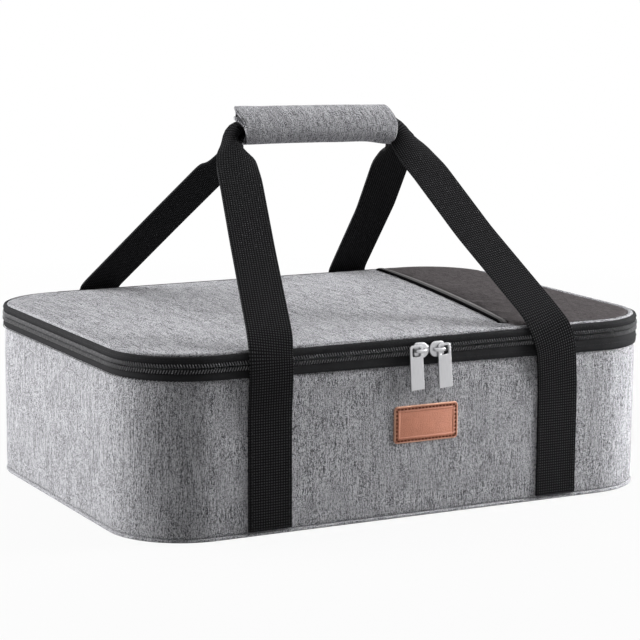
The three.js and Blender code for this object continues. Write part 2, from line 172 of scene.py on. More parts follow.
# Heather yarn: pale and dark fibres spun together, with slubs along the vector's third axis. Each kind of
# grain has a size in mm and a share of the whole.
heather_yarn, given, wanted = effect(
    "heather_yarn",
    {"Vector": "Vector", "Dark": "Color", "Light": "Color"},
    {"Color": "Color", "Height": "Float"},
)
fibres = {
    (0.4, 0.4, 0.5): 0.42,
    (0.36, 0.36, 2.4): 0.28,
    (0.45, 0.45, 14.0): 0.17,
    (2.5, 2.5, 0.45): 0.08,
    (5.0, 5.0, 30.0): 0.05,
}
spun = 0.0
for size, share in fibres.items():
    grain = streaks(heather_yarn, given["Vector"], size, detail=0.0)
    spun = sums(heather_yarn, "MULTIPLY_ADD", grain, share, spun)
contrast = ramp(heather_yarn, spun, low=0.415, high=0.585)
heather_yarn.links.new(tint(heather_yarn, contrast, given["Dark"], given["Light"]), wanted["Color"])
heather_yarn.links.new(contrast, wanted["Height"])


def finish(name, **plain):
    """A material with its plain numbers set on the shader."""
    made = bpy.data.materials.new(name)
    made.use_nodes = True
    shader = made.node_tree.nodes["Principled BSDF"]
    for key, value in plain.items():
        shader.inputs[key.replace("_", " ")].default_value = value
    return made, made.node_tree, shader


def dress(tree, shader, colour, height, depth, strength=1.0):
    """Joins an effect's colour and its relief, of a depth in mm, to the shader."""
    tree.links.new(colour, shader.inputs["Base Color"])
    relief = put(tree, "Bump", Strength=strength, Distance=depth * MM, Height=height)
    tree.links.new(relief.outputs[0], shader.inputs["Normal"])


def where(tree, kind="Object"):
    """A point's place on the piece, or in its UV map."""
    return put(tree, "TexCoord").outputs[kind]


def use(tree, group, **inputs):
    """A node group placed in a material with its own values, and what it puts out."""
    return put(tree, "Group", {"node_tree": group}, **inputs).outputs


def heather_cloth(name, grain=(0.0, 0.0, 0.0), stretch=(1.0, 1.0, 1.0), unwrapped=False):
    """Heather polyester, its slubs turned to lie along the piece and lengthened where stretch is small."""
    made, tree, shader = finish(name, Roughness=0.95, Specular_IOR_Level=0.2)
    place = where(tree, "UV" if unwrapped else "Object")
    turned = put(tree, "Mapping", Vector=place, Rotation=grain, Scale=stretch).outputs[0]
    yarn = use(tree, heather_yarn, Vector=turned, Dark=HEATHER_DARK, Light=HEATHER_LIGHT)
    dress(tree, shader, yarn["Color"], yarn["Height"], depth=0.2, strength=0.5)
    return made


wall_cloth = heather_cloth("wall_cloth")
lid_cloth = heather_cloth("lid_cloth", grain=(math.radians(90), 0, 0))

base_levels = [(CENTRE_INSET, 0.1), (8, 0.1), (2.9, 0.3), (2.9, 1.0), (8, 1.2), (CENTRE_INSET, 1.2)]
base_panel = piece("base_cloth", loft(base_levels), lid_cloth)
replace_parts(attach(base_panel, "tub"), "base_panel")

binding_roll = [
    (2.6, 0.1), (0.6, 0), (-0.4, 0.2), (-0.85, 0.7), (-0.9, 1.2), (-0.6, 1.9), (0, 2.3), (1.2, 2.4),
    (2.6, 2.3),
]
base_binding = piece("base_binding_roll", loft(binding_roll, ring=True), wall_cloth)
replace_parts(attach(base_binding, "tub"), "base_binding")


# Foam: white closed-cell sheets in the base and the walls, cut with square edges and sealed between the
# cloth and the liner.
def grained(name, grain, dark, light, depth, detail=2.0, **plain):
    """A finish with one even grain, in mm, that goes from dark in its hollows to light on its heights."""
    made, tree, shader = finish(name, **plain)
    specks = streaks(tree, where(tree), (grain, grain, grain), detail)
    dress(tree, shader, tint(tree, specks, dark, light), specks, depth)
    return made


foam_white = grained(
    "foam_white", 0.9, (0.62, 0.62, 0.59, 1), (0.8, 0.8, 0.77, 1), depth=0.3, detail=3.0, Roughness=0.9,
)


def foam_sheet(name, levels, body, ring=False):
    """A sheet of foam in place of the solid of that name."""
    made = piece(name + "_sheet", loft(levels, ring=ring), foam_white)
    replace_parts(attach(made, body), name)


base_foam = [(CENTRE_INSET, 1.6), (7.8, 1.6), (7.3, 2.1), (7.3, 6.5), (7.8, 7), (CENTRE_INSET, 7)]
wall_foam = [(1.6, 3.5), (6.9, 3.5), (6.9, 115.4), (6.4, 115.9), (2.1, 115.9), (1.6, 115.4)]
foam_sheet("base_foam", base_foam, "tub")
foam_sheet("wall_foam", wall_foam, "tub", ring=True)


# Walls: one length of heather cloth round the foam, eased out a little between the seams at its foot and
# under the zip, with its ends closed by an upright seam at the middle of the back.
WALL_SWELL, WALL_SWELL_SPAN = 0.45 * MM, 55 * MM
TAPE_DRIFT, DRIFT_FOOT, DRIFT_HEAD = 0.013, 50 * MM, 105 * MM
SEAM_WIDTH, SEAM_THICKNESS, SEAM_EDGE = 3.2 * MM, 1.2 * MM, 0.4 * MM
SEAM_FOOT, SEAM_HEAD, SEAM_OUT, SEAM_CUTS = 4 * MM, 108 * MM, 0.45 * MM, 20
SHARP_RADIANS = 1.0
wall_outside = [
    (0.9, 2.4), (0.35, 3.1), (0.0, 4.6), (-0.2, 9), (-0.35, 16), (-0.45, 26), (-0.5, 38), (-0.5, 50),
    (-0.5, 62), (-0.5, 74), (-0.45, 84), (-0.4, 93), (-0.25, 100), (0.0, 105), (0.4, 107.6), (0.9, 109),
]
wall_inside = [(1.4, 109), (1.4, 60), (1.4, 2.4)]


def soften(bm, amount, span, shift=0.0, lift=None):
    """Slow swells and hollows, as cloth over foam has, along each point's normal or a given direction."""
    bm.normal_update()
    for v in bm.verts:
        v.co += (lift or v.normal) * amount * noise.noise(v.co / span + Vector((shift, shift, shift)))


def drift(bm, still, full):
    """The zip tape was sewn on by eye, so its lower edge falls from left to right.

    Points at the still height stay where they are, and those at the full height take the whole fall.
    """
    for v in bm.verts:
        v.co.z -= TAPE_DRIFT * v.co.x * min(max((v.co.z - still) / (full - still), 0), 1)


def block(bm, size, centre):
    """A plain box, added to the mesh."""
    corners = bmesh.ops.create_cube(bm, size=1.0)["verts"]
    bmesh.ops.scale(bm, vec=size, verts=corners)
    bmesh.ops.translate(bm, vec=centre, verts=corners)


wall_shape = loft(wall_outside + wall_inside, ring=True)
soften(wall_shape, WALL_SWELL, WALL_SWELL_SPAN)
drift(wall_shape, DRIFT_FOOT, DRIFT_HEAD)
wall_shell = piece("wall_cloth", wall_shape, wall_cloth)
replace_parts(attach(wall_shell, "tub"), "wall_shell")

seam_shape = bmesh.new()
seam_size = (SEAM_WIDTH, SEAM_THICKNESS, SEAM_HEAD - SEAM_FOOT)
block(seam_shape, seam_size, (0, DEPTH / 2 + SEAM_OUT, (SEAM_HEAD + SEAM_FOOT) / 2))
uprights = [e for e in seam_shape.edges if e.calc_length() > 2 * SEAM_WIDTH]
bmesh.ops.subdivide_edges(seam_shape, edges=uprights, cuts=SEAM_CUTS)
seam_edges = [e for e in seam_shape.edges if e.calc_face_angle(0) > SHARP_RADIANS]
round_off(seam_shape, seam_edges, SEAM_EDGE, 2, "EDGES")
back_seam = piece("back_seam", seam_shape, wall_cloth)
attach(back_seam, "tub")


# Liner: aluminium-faced film welded into a tub that lines the foam, crinkled a little by folding, with its
# mouth caught under the zip.
CRINKLES_PER_METRE = 55.0
FOIL_SWELL, FOIL_SWELL_SPAN, FOIL_SHIFT = 0.3 * MM, 22 * MM, 3.1
FOIL_DARK, FOIL_LIGHT = (0.28, 0.285, 0.3, 1), (0.42, 0.43, 0.45, 1)


def uneven_gloss(tree, shader, mask, low, high):
    """Roughness that varies over the piece with a mask."""
    tree.links.new(ramp(tree, mask, to_low=low, to_high=high), shader.inputs["Roughness"])


foil_film, tree, shader = finish("foil_film", Metallic=0.9)
place = where(tree)
folds = put(
    tree, "TexVoronoi", {"feature": "SMOOTH_F1"}, Vector=place, Scale=CRINKLES_PER_METRE, Smoothness=0.3,
).outputs[0]
fine = streaks(tree, place, (2.2, 2.2, 2.2), detail=4.0)
creases = sums(tree, "ADD", folds, fine)
dress(tree, shader, tint(tree, fine, FOIL_DARK, FOIL_LIGHT), creases, depth=0.7, strength=0.6)
uneven_gloss(tree, shader, fine, 0.42, 0.6)

liner_outside = [(CENTRE_INSET, 7.3), (11, 7.3), (7.9, 8.2), (7.3, 11), (7.3, 60), (7.3, 116.3)]
liner_inside = [
    (8.1, 116.3), (8.1, 90), (8.1, 60), (8.1, 30), (8.1, 12), (9.2, 9), (12, 8.1), (60, 8.1),
    (CENTRE_INSET, 8.1),
]
liner_shape = loft(liner_outside + liner_inside)
soften(liner_shape, FOIL_SWELL, FOIL_SWELL_SPAN, FOIL_SHIFT)
foil_liner = piece("tub_foil", liner_shape, foil_film)
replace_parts(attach(foil_liner, "tub"), "foil_liner")


# Zip tapes: black woven tape, one length sewn to the wall and one to the lid. They run round the front and
# the ends and stop beside the hinge. Each also folds inward as a binding over the raw edges of the foam.
HINGE_HALF = 150 * MM
TAPE_RIB, RIB_SHARE = 0.9 * MM, 0.25
TAPE_HEAD, TAPE_FOOT = 116 * MM, 109 * MM

tape_weave, given, wanted = effect(
    "tape_weave",
    {"Vector": "Vector", "Dark": "Color", "Light": "Color"},
    {"Color": "Color", "Height": "Float"},
)
thread = streaks(tape_weave, given["Vector"], (0.5, 0.5, 0.35), detail=1.0)
lint = streaks(tape_weave, given["Vector"], (6.0, 6.0, 3.0))
upright = put(tape_weave, "SeparateXYZ", Vector=given["Vector"]).outputs["Z"]
ribs = sums(tape_weave, "SINE", sums(tape_weave, "MULTIPLY", upright, 2 * math.pi / TAPE_RIB))
raised = sums(tape_weave, "MULTIPLY_ADD", ribs, RIB_SHARE, thread)
mixed = sums(tape_weave, "MULTIPLY", sums(tape_weave, "ADD", thread, lint), 0.5)
tape_weave.links.new(tint(tape_weave, mixed, given["Dark"], given["Light"]), wanted["Color"])
tape_weave.links.new(raised, wanted["Height"])

black_tape, tree, shader = finish("black_tape", Roughness=0.8, Specular_IOR_Level=0.08)
tape_tones = {"Dark": (0.004, 0.004, 0.0045, 1), "Light": (0.03, 0.03, 0.032, 1)}
weave = use(tree, tape_weave, Vector=where(tree), **tape_tones)
dress(tree, shader, weave["Color"], weave["Height"], depth=0.2, strength=0.7)


def everything(bm):
    """All parts of a mesh, as a cut takes them."""
    return bm.verts[:] + bm.edges[:] + bm.faces[:]


def open_at_hinge(bm):
    """Takes out the stretch behind the hinge and closes the two cut ends."""
    for side in (-1, 1):
        cut = (side * HINGE_HALF, 0, 0)
        bmesh.ops.bisect_plane(bm, geom=everything(bm), plane_co=cut, plane_no=(1, 0, 0))
    middles = {f: f.calc_center_median() for f in bm.faces}
    behind = [f for f, middle in middles.items() if abs(middle.x) < HINGE_HALF and middle.y > 0]
    bmesh.ops.delete(bm, geom=behind, context="FACES")
    bmesh.ops.holes_fill(bm, edges=[e for e in bm.edges if e.is_boundary])
    return bm


body_tape_roll = [
    (1.2, 108.8), (-0.5, 108.7), (-1.15, 109.2), (-1.5, 110.6), (-1.5, 112.4), (-1.25, 114), (-1.2, 115.2),
    (-0.8, 115.9), (0.5, 116), (1.2, 115.9),
]
body_tape_shape = open_at_hinge(loft(body_tape_roll, ring=True))
drift(body_tape_shape, TAPE_HEAD, TAPE_FOOT)
body_zip_tape = piece("body_tape", body_tape_shape, black_tape)
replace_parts(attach(body_zip_tape, "tub"), "body_zip_tape")

lid_tape_roll = [
    (1.2, 122.9), (0.4, 122.8), (-0.8, 122.9), (-1.2, 123.5), (-1.35, 125), (-1.25, 126.4), (-0.8, 127.4),
    (0.2, 127.8), (1.3, 127.6),
]
lid_zip_tape = piece("lid_tape", open_at_hinge(loft(lid_tape_roll, ring=True)), black_tape)
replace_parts(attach(lid_zip_tape, "lid"), "lid_zip_tape")

rim_roll = [
    (1.2, 115.2), (1.3, 116.5), (3.5, 117.0), (7.5, 117.1), (8.7, 116.7), (9.0, 115.6), (9.0, 109),
    (8.4, 108.8), (8.2, 115.8), (7, 116.2), (2, 116),
]
rim_binding = piece("rim_binding", loft(rim_roll, ring=True), black_tape)
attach(rim_binding, "tub")

lid_rim_roll = [
    (1.2, 123), (1.1, 120.9), (1.8, 120.0), (4.5, 119.6), (10.5, 119.5), (11.2, 119.8), (10.5, 120.1),
    (5.2, 120.3), (2.6, 121), (2, 123),
]
lid_rim_binding = piece("lid_rim_binding", loft(lid_rim_roll, ring=True), black_tape)
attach(lid_rim_binding, "lid")


# Zip coils: a nylon spiral sewn along the edge of each tape. Each turn shows as a slanting bead, and the two
# rows lean towards each other and mesh along the split line.
COIL_PITCH, COIL_INSET, COIL_LEAN = 2.0 * MM, -1.1 * MM, math.radians(24)
COIL_BEAD = (0.42 * MM, 0.9 * MM, 1.8 * MM)
BODY_COIL_Z, LID_COIL_Z = 117.65 * MM, 121.15 * MM
BLUNT_END = 0.55

coil_nylon, tree, shader = finish("coil_nylon", Specular_IOR_Level=1.0)
dust = streaks(tree, where(tree), (1.5, 1.5, 1.5))
nylon = tint(tree, dust, (0.07, 0.07, 0.073, 1), (0.26, 0.26, 0.27, 1))
tree.links.new(nylon, shader.inputs["Base Color"])
uneven_gloss(tree, shader, dust, 0.16, 0.34)


def plan_station(inset, distance):
    """Where a point lies after that distance round the plan from the middle of the back, and its heading."""
    half_x, half_y = LENGTH / 2 - CORNER, DEPTH / 2 - CORNER
    radius = CORNER - inset
    bend = radius * math.pi / 2
    legs = [
        (half_x, -half_x, half_y), (2 * half_y, -half_x, -half_y), (2 * half_x, half_x, -half_y),
        (2 * half_y, half_x, half_y), (half_x, 0, 0),
    ]
    heading = math.pi
    spot = Vector((0, DEPTH / 2 - inset, 0))
    for straight, corner_x, corner_y in legs:
        if distance <= straight:
            break
        distance -= straight
        turn = min(distance, bend) / radius
        heading += turn
        outward = Vector((math.sin(heading), -math.cos(heading), 0))
        spot = Vector((corner_x, corner_y, 0)) + radius * outward
        if distance <= bend:
            return spot, heading
        distance -= bend
    return spot + Vector((math.cos(heading), math.sin(heading), 0)) * distance, heading


def zip_run(inset, z, pitch, shape):
    """Places for a row of small parts along the zip, from one end of the hinge round to the other."""
    round_plan = 2 * (LENGTH + DEPTH - 4 * CORNER) + 2 * math.pi * (CORNER - inset)
    places = []
    for i in range(int((round_plan - 2 * HINGE_HALF) / pitch)):
        spot, heading = plan_station(inset, HINGE_HALF + (i + 0.5) * pitch)
        spot.z = z
        places.append(Matrix.Translation(spot) @ Matrix.Rotation(heading, 4, "Z") @ shape)
    return places


def scatter(bm, shape, places):
    """Copies of one small mesh, each put in place by its matrix."""
    for place in places:
        copy = shape.copy()
        copy.transform(place)
        bm.from_mesh(copy)
        bpy.data.meshes.remove(copy)


def bead(name, around, rings):
    """A small blunt-ended bead of unit radius, with few faces."""
    bm = bmesh.new()
    bmesh.ops.create_uvsphere(bm, u_segments=around, v_segments=rings, radius=1.0)
    for v in bm.verts:
        v.co.z = math.copysign(abs(v.co.z) ** BLUNT_END, v.co.z)
    shape = bpy.data.meshes.new(name)
    bm.to_mesh(shape)
    bm.free()
    return shape


coil_turn = bead("coil_turn", around=6, rings=6)


def coil_row(name, z, lean, body, bed):
    """A row of coils on the bed of tape that carries it."""
    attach(piece(name + "_bed", open_at_hinge(loft(bed, ring=True)), black_tape), body)
    row = bmesh.new()
    turn = Matrix.Rotation(lean, 4, "Y") @ Matrix.Diagonal((*COIL_BEAD, 1))
    scatter(row, coil_turn, zip_run(COIL_INSET, z, COIL_PITCH, turn))
    made = piece(name + "_coil", row, coil_nylon)
    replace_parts(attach(made, body), name)


body_bed = [(0.6, 116.1), (-0.6, 116.1), (-0.7, 117.4), (-0.5, 118.6), (0.6, 118.6)]
lid_bed = [(0.6, 120.2), (-0.5, 120.2), (-0.7, 121.4), (-0.6, 122.7), (0.6, 122.7)]
coil_row("body_zip_row", BODY_COIL_Z, COIL_LEAN, "tub", body_bed)
coil_row("lid_zip_row", LID_COIL_Z, -COIL_LEAN, "lid", lid_bed)


# Hinge gusset: a strip of the black tape cloth that joins wall and lid across the middle of the back. The
# lid folds on it, so it bends between the two.
GUSSET_FOOT, GUSSET_HEAD, GUSSET_END_GAP = 108.8 * MM, 127.8 * MM, 0.3 * MM
GUSSET_OUT, GUSSET_BULGE, GUSSET_THICKNESS, GUSSET_EDGE = 0.3 * MM, 0.9 * MM, 1.6 * MM, 0.4 * MM
THICKNESS_CORNER = math.radians(60)


def mapped(long_cuts, cross_cuts, place):
    """A grid laid by place(s, t), both from 0 to 1, which gives a point and its place in the weave."""
    bm = bmesh.new()
    weave_map = bm.loops.layers.uv.new("weave")
    bmesh.ops.create_grid(bm, x_segments=long_cuts, y_segments=cross_cuts, size=0.5)
    laid = {v: place(v.co.x + 0.5, v.co.y + 0.5) for v in bm.verts}
    for face in bm.faces:
        for corner in face.loops:
            corner[weave_map].uv = laid[corner.vert][1]
    for v, (point, _) in laid.items():
        v.co = point
    bmesh.ops.recalc_face_normals(bm, faces=bm.faces)
    return bm


def thicken(made, thickness, edge=0.0):
    """A sheet's thickness, half to each side, with its edges rounded where a width is given."""
    solid = made.modifiers.new("thickness", "SOLIDIFY")
    solid.thickness = thickness
    solid.offset = 0.0
    if edge:
        rounding = made.modifiers.new("edge", "BEVEL")
        rounding.width = edge
        rounding.segments = 2
        rounding.limit_method = "ANGLE"
        rounding.angle_limit = THICKNESS_CORNER


def gusset_point(s, t):
    x = (2 * s - 1) * (HINGE_HALF - GUSSET_END_GAP)
    z = GUSSET_FOOT + t * (GUSSET_HEAD - GUSSET_FOOT)
    y = DEPTH / 2 + GUSSET_OUT + GUSSET_BULGE * math.sin(math.pi * t)
    return (x, y, z), (x, z)


hinge_gusset = piece("gusset_strip", mapped(60, 16, gusset_point), black_tape)
thicken(hinge_gusset, GUSSET_THICKNESS, GUSSET_EDGE)
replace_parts(hinge_gusset, "hinge_gusset")
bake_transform(hinge_gusset)


# Lid: heather cloth over a foam board, crowned a little, with film under it. Piping in the same cloth is
# sewn in round its edge, and along the back the lid's cloth is drawn out over it.
LID_CROWN = [
    (4.8, 127.2), (5.6, 127.7), (8, 128.0), (14, 128.3), (24, 128.6), (40, 128.9), (70, 129.2), (105, 129.4),
    (CENTRE_INSET, 129.4),
]
CROWN_SWELL = {"amount": 0.3 * MM, "span": 60 * MM, "shift": 1.7, "lift": Vector((0, 0, 1))}
BACK_RIM_FROM, BACK_RIM_TO, BACK_TURN, BACK_DRAW = 30 * MM, 6 * MM, 0.25, 3.4 * MM
PIPING_INSET, PIPING_HEIGHT, PIPING_RADIUS, PIPING_STEPS = 2.9 * MM, 127.6 * MM, 2.0 * MM, 12
BACK_SINK, POCKET_SINK, POCKET_SINK_FROM, POCKET_SINK_TO = 1.6 * MM, 0.8 * MM, 90 * MM, 115 * MM


def smooth(edge0, edge1, value):
    """From 0 at one edge to 1 at the other, eased at both."""
    f = min(max((value - edge0) / (edge1 - edge0), 0), 1)
    return f * f * (3 - 2 * f)


def back_rim(spot):
    """From 0 to 1 where the lid's edge turns to the back, and the way out from there."""
    out_x = max(abs(spot.x) - LENGTH / 2 + CORNER, 0)
    out_y = max(abs(spot.y) - DEPTH / 2 + CORNER, 0)
    out = Vector((math.copysign(out_x, spot.x), math.copysign(out_y, spot.y), 0))
    inset = CORNER - out.length
    out.normalize()
    return smooth(BACK_RIM_FROM, BACK_RIM_TO, inset) * smooth(0.0, BACK_TURN, out.y), out


def over_back_piping(bm):
    """The cloth is drawn out over the piping along the back."""
    for v in bm.verts:
        share, out = back_rim(v.co)
        v.co += out * (BACK_DRAW * share)


lid_foam = [
    (CENTRE_INSET, 121), (5.2, 121), (4.7, 121.5), (4.7, 125.8), (5.2, 126.2), (CENTRE_INSET, 126.2),
]
foam_sheet("lid_foam", lid_foam, "lid")

lid_foil = [
    (CENTRE_INSET, 119.9), (60, 119.9), (6, 119.9), (4.7, 120.1), (4.7, 120.6), (6, 120.8),
    (CENTRE_INSET, 120.8),
]
lid_liner = piece("lid_foil", loft(lid_foil), foil_film)
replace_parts(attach(lid_liner, "lid"), "lid_liner")

lid_shape = loft([(CENTRE_INSET, 126.6), (6, 126.6), (4.8, 126.8)] + LID_CROWN)
soften(lid_shape, **CROWN_SWELL)
over_back_piping(lid_shape)
lid_panel = piece("lid_cloth", lid_shape, lid_cloth)
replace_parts(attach(lid_panel, "lid"), "lid_panel")

piping_roll = []
for step in range(PIPING_STEPS):
    turn = step * 2 * math.pi / PIPING_STEPS
    inset = PIPING_INSET + PIPING_RADIUS * math.cos(turn)
    piping_roll.append((inset / MM, (PIPING_HEIGHT + PIPING_RADIUS * math.sin(turn)) / MM))
piping_cloth = heather_cloth("piping_cloth", grain=(0, math.radians(90), 0))
piping_shape = loft(piping_roll, ring=True)
for v in piping_shape.verts:
    at_back = back_rim(v.co)[0]
    beside_pocket = smooth(POCKET_SINK_FROM, POCKET_SINK_TO, v.co.x) * (1 - at_back)
    v.co.z -= BACK_SINK * at_back + POCKET_SINK * beside_pocket
lid_piping = piece("lid_piping_roll", piping_shape, piping_cloth)
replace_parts(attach(lid_piping, "lid"), "lid_piping")


# Mesh pocket: fine dark net laid over the right-hand part of the lid and caught in its edge seam. Its mouth
# is a slanting elastic binding with a paler raised stripe and painted shadow along both its edges, tucked in
# short of the front.
POCKET_FRONT_X, POCKET_BACK_X = 76.5 * MM, 132 * MM
NET_LIFT, NET_THICKNESS, NET_EDGE, NET_HOLE = 0.5 * MM, 0.6 * MM, 6 * MM, 0.95 * MM
TUCK, TUCK_FROM_Y, TUCK_TO_Y, TUCK_REACH = 6.5 * MM, -127 * MM, -149 * MM, 16 * MM
MOUTH_FRONT_Y, MOUTH_BACK_Y = -129 * MM, DEPTH / 2 - 5.5 * MM
MOUTH_SLANT, MOUTH_BOW, MOUTH_SWELL, MOUTH_TUCKED = 3 * MM, 1.5 * MM, 0.9 * MM, 0.02
MOUTH_END_WIDTH, MOUTH_WIDENING = 7.4 * MM, 3.3 * MM
MOUTH_LIFT, MOUTH_RISE = 0.3 * MM, 0.15 * MM
ELASTIC_WIDTH, ELASTIC_THICKNESS, ELASTIC_EDGE = 10 * MM, 0.9 * MM, 0.2 * MM
# Bands across the binding: outside the ground band both edges are painted shadow; the stripe lies inside it.
GROUND_BAND, STRIPE_BAND = (2.4 * MM, 8.6 * MM), (5.4 * MM, 8.2 * MM)
BAND_SOFTNESS, BAND_TONE, YARN_BASE = 0.3 * MM, 0.4, 0.6
mouth_along = Vector((POCKET_BACK_X - POCKET_FRONT_X, DEPTH, 0)).normalized()
mouth_across = Vector((mouth_along.y, -mouth_along.x, 0))
mouth_start = Vector((POCKET_FRONT_X, -DEPTH / 2, 0))

net_dark, tree, shader = finish("pocket_net", Roughness=0.85, Specular_IOR_Level=0.0)
place = where(tree)
flat = put(tree, "VectorMath", {"operation": "MULTIPLY"}, i0=place, i1=(1, 1, 0)).outputs[0]
holes = put(tree, "TexVoronoi", {"feature": "F1"}, Vector=flat, Scale=1 / NET_HOLE, Randomness=0.25)
strand = ramp(tree, holes.outputs[0], low=0.12, high=0.5)
clouds = ramp(tree, streaks(tree, place, (3.0, 8.0, 3.0), detail=4.0), low=0.35, high=0.65)
lint = ramp(tree, streaks(tree, place, (0.8, 2.0, 0.8)), low=0.35, high=0.65)
shade = sums(tree, "MULTIPLY", sums(tree, "ADD", clouds, lint), 0.5)
worn = sums(tree, "MULTIPLY", sums(tree, "ADD", strand, shade), 0.5)
net_tone = tint(tree, worn, (0.01, 0.0092, 0.0093, 1), (0.118, 0.108, 0.11, 1))
dress(tree, shader, net_tone, strand, depth=0.25, strength=0.8)

net_shape = loft([(5.0, 127.9)] + [(inset, z + NET_LIFT / MM) for inset, z in LID_CROWN[2:]])
underside = [f for f in net_shape.faces if len(f.verts) > 4 and f.normal.z < 0]
bmesh.ops.delete(net_shape, geom=underside, context="FACES_ONLY")
soften(net_shape, **CROWN_SWELL)
over_back_piping(net_shape)
net_line = mouth_start + mouth_across * NET_EDGE
bmesh.ops.bisect_plane(
    net_shape, geom=everything(net_shape), plane_co=net_line, plane_no=mouth_across, clear_inner=True,
)
for v in net_shape.verts:
    from_line = (v.co - net_line).dot(mouth_across)
    v.co.x += TUCK * smooth(TUCK_FROM_Y, TUCK_TO_Y, v.co.y) * smooth(TUCK_REACH, 0, from_line)
mesh_pocket = piece("pocket_net", net_shape, net_dark)
thicken(mesh_pocket, NET_THICKNESS)
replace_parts(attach(mesh_pocket, "lid"), "mesh_pocket")


def between(tree, value, low, high, soft):
    """From 0 outside two values to 1 between them, eased over the soft width."""
    rise = ramp(tree, value, low=low - soft, high=low + soft)
    fall = ramp(tree, value, low=high + soft, high=high - soft)
    return sums(tree, "MULTIPLY", rise, fall)


dark_elastic_and_edge_shadow, tree, shader = finish("elastic_binding", Roughness=0.8, Specular_IOR_Level=0.0)
place = where(tree, "UV")
across = put(tree, "SeparateXYZ", Vector=place).outputs["Y"]
yarn = streaks(tree, place, (0.8, 0.5, 1.0))
# Outside the ground band the tone stays at the dark colour: painted shadow along both edges, where the
# binding meets the lid and the net.
ground_tone = sums(tree, "MULTIPLY", between(tree, across, *GROUND_BAND, BAND_SOFTNESS), BAND_TONE)
stripe = sums(tree, "MULTIPLY", between(tree, across, *STRIPE_BAND, BAND_SOFTNESS), BAND_TONE)
lit = sums(tree, "MULTIPLY", sums(tree, "ADD", ground_tone, stripe), sums(tree, "ADD", yarn, YARN_BASE))
elastic_tone = tint(tree, lit, (0.003, 0.003, 0.0033, 1), (0.19, 0.184, 0.184, 1))
dress(tree, shader, elastic_tone, yarn, depth=0.2, strength=0.7)

mouth_length = (MOUTH_BACK_Y - MOUTH_FRONT_Y) / mouth_along.y
mouth_foot = mouth_start + mouth_along * ((MOUTH_FRONT_Y + DEPTH / 2) / mouth_along.y)


def lid_height(x, y):
    """The crown's height over a point of the lid, from how far it lies from the edge."""
    inset = min(LENGTH / 2 - abs(x), DEPTH / 2 - abs(y)) / MM
    for (low, z0), (high, z1) in zip(LID_CROWN[1:], LID_CROWN[2:]):
        if inset <= high:
            return (z0 + (z1 - z0) * max(inset - low, 0) / (high - low)) * MM
    return LID_CROWN[-1][1] * MM


def mouth_point(s, t):
    bow = math.sin(math.pi * s)
    loose = smooth(0, MOUTH_TUCKED, s)
    along = s * mouth_length + MOUTH_SLANT * (1 - t) * (1 - s)
    aside = MOUTH_BOW * bow + t * (MOUTH_END_WIDTH + MOUTH_WIDENING * bow)
    spot = mouth_foot + mouth_along * along + mouth_across * aside
    swell = MOUTH_SWELL * (1 - abs(2 * t - 1) ** 3)
    spot.z = lid_height(spot.x, spot.y) + MOUTH_LIFT + (MOUTH_RISE + swell) * loose
    return spot, (s * mouth_length, t * ELASTIC_WIDTH)


pocket_binding = piece("pocket_elastic", mapped(50, 14, mouth_point), dark_elastic_and_edge_shadow)
thicken(pocket_binding, ELASTIC_THICKNESS, ELASTIC_EDGE)
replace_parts(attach(pocket_binding, "lid"), "pocket_binding")


# Handles: two lengths of heavy black webbing. Each is sewn up the wall, runs free from there over the lid's
# edge and, with its edges folded under, goes through the grip and down the other side.
WEB_WIDTH, WEB_THICKNESS, WEB_EDGE, WEB_PITCH = 33 * MM, 1.8 * MM, 0.35 * MM, 1.9 * MM
WEB_CUPPING = 0.3
ROUTE_STEP, EASING_PASSES = 3.2 * MM, 4

webbing_weave, given, wanted = effect(
    "webbing_weave",
    {"Vector": "Vector", "Pitch": "Float", "Dark": "Color", "Light": "Color"},
    {"Color": "Color", "Height": "Float"},
)
turns = sums(webbing_weave, "DIVIDE", 2 * math.pi, given["Pitch"])
angles = put(webbing_weave, "VectorMath", {"operation": "SCALE"}, i0=given["Vector"], Scale=turns).outputs[0]
waves = put(webbing_weave, "VectorMath", {"operation": "SINE"}, i0=angles).outputs[0]
pair = put(webbing_weave, "SeparateXYZ", Vector=waves).outputs
picks = ramp(webbing_weave, sums(webbing_weave, "MINIMUM", pair["X"], pair["Y"]), low=-0.8, high=0.8)
fuzz = streaks(webbing_weave, given["Vector"], (0.5, 0.9, 1.0))
shown = sums(webbing_weave, "MULTIPLY", picks, sums(webbing_weave, "ADD", fuzz, 0.3))
webbing_weave.links.new(tint(webbing_weave, shown, given["Dark"], given["Light"]), wanted["Color"])
webbing_weave.links.new(picks, wanted["Height"])

black_webbing, tree, shader = finish("black_webbing", Roughness=0.8, Specular_IOR_Level=0.05)
webbing_tones = {"Dark": (0.0006, 0.0006, 0.0008, 1), "Light": (0.05, 0.05, 0.053, 1)}
weave = use(tree, webbing_weave, Vector=where(tree, "UV"), Pitch=WEB_PITCH, **webbing_tones)
dress(tree, shader, weave["Color"], weave["Height"], depth=0.35, strength=0.8)

# Stations up a leg, in mm: how far out and how high, and the way the webbing faces
UPRIGHT, LEANING = Vector((0, 1, 0)), Vector((0, 0.66, 0.75))
sewn = [(152.0, 3.6, UPRIGHT), (152.2, 84, UPRIGHT)]
over_edge = {
    "front": [(155.0, 112, UPRIGHT), (155.0, 124, UPRIGHT), (147, 138, LEANING)],
    "rear": [(154.5, 108, UPRIGHT), (158.6, 122, UPRIGHT), (158.2, 127.8, LEANING)],
}
free = [
    (85, 190, LEANING), (33, 236, LEANING), (18.5, 249, LEANING),
    (7, 259.5, UPRIGHT), (3.2, 264, UPRIGHT), (2.5, 264.5, UPRIGHT),
]
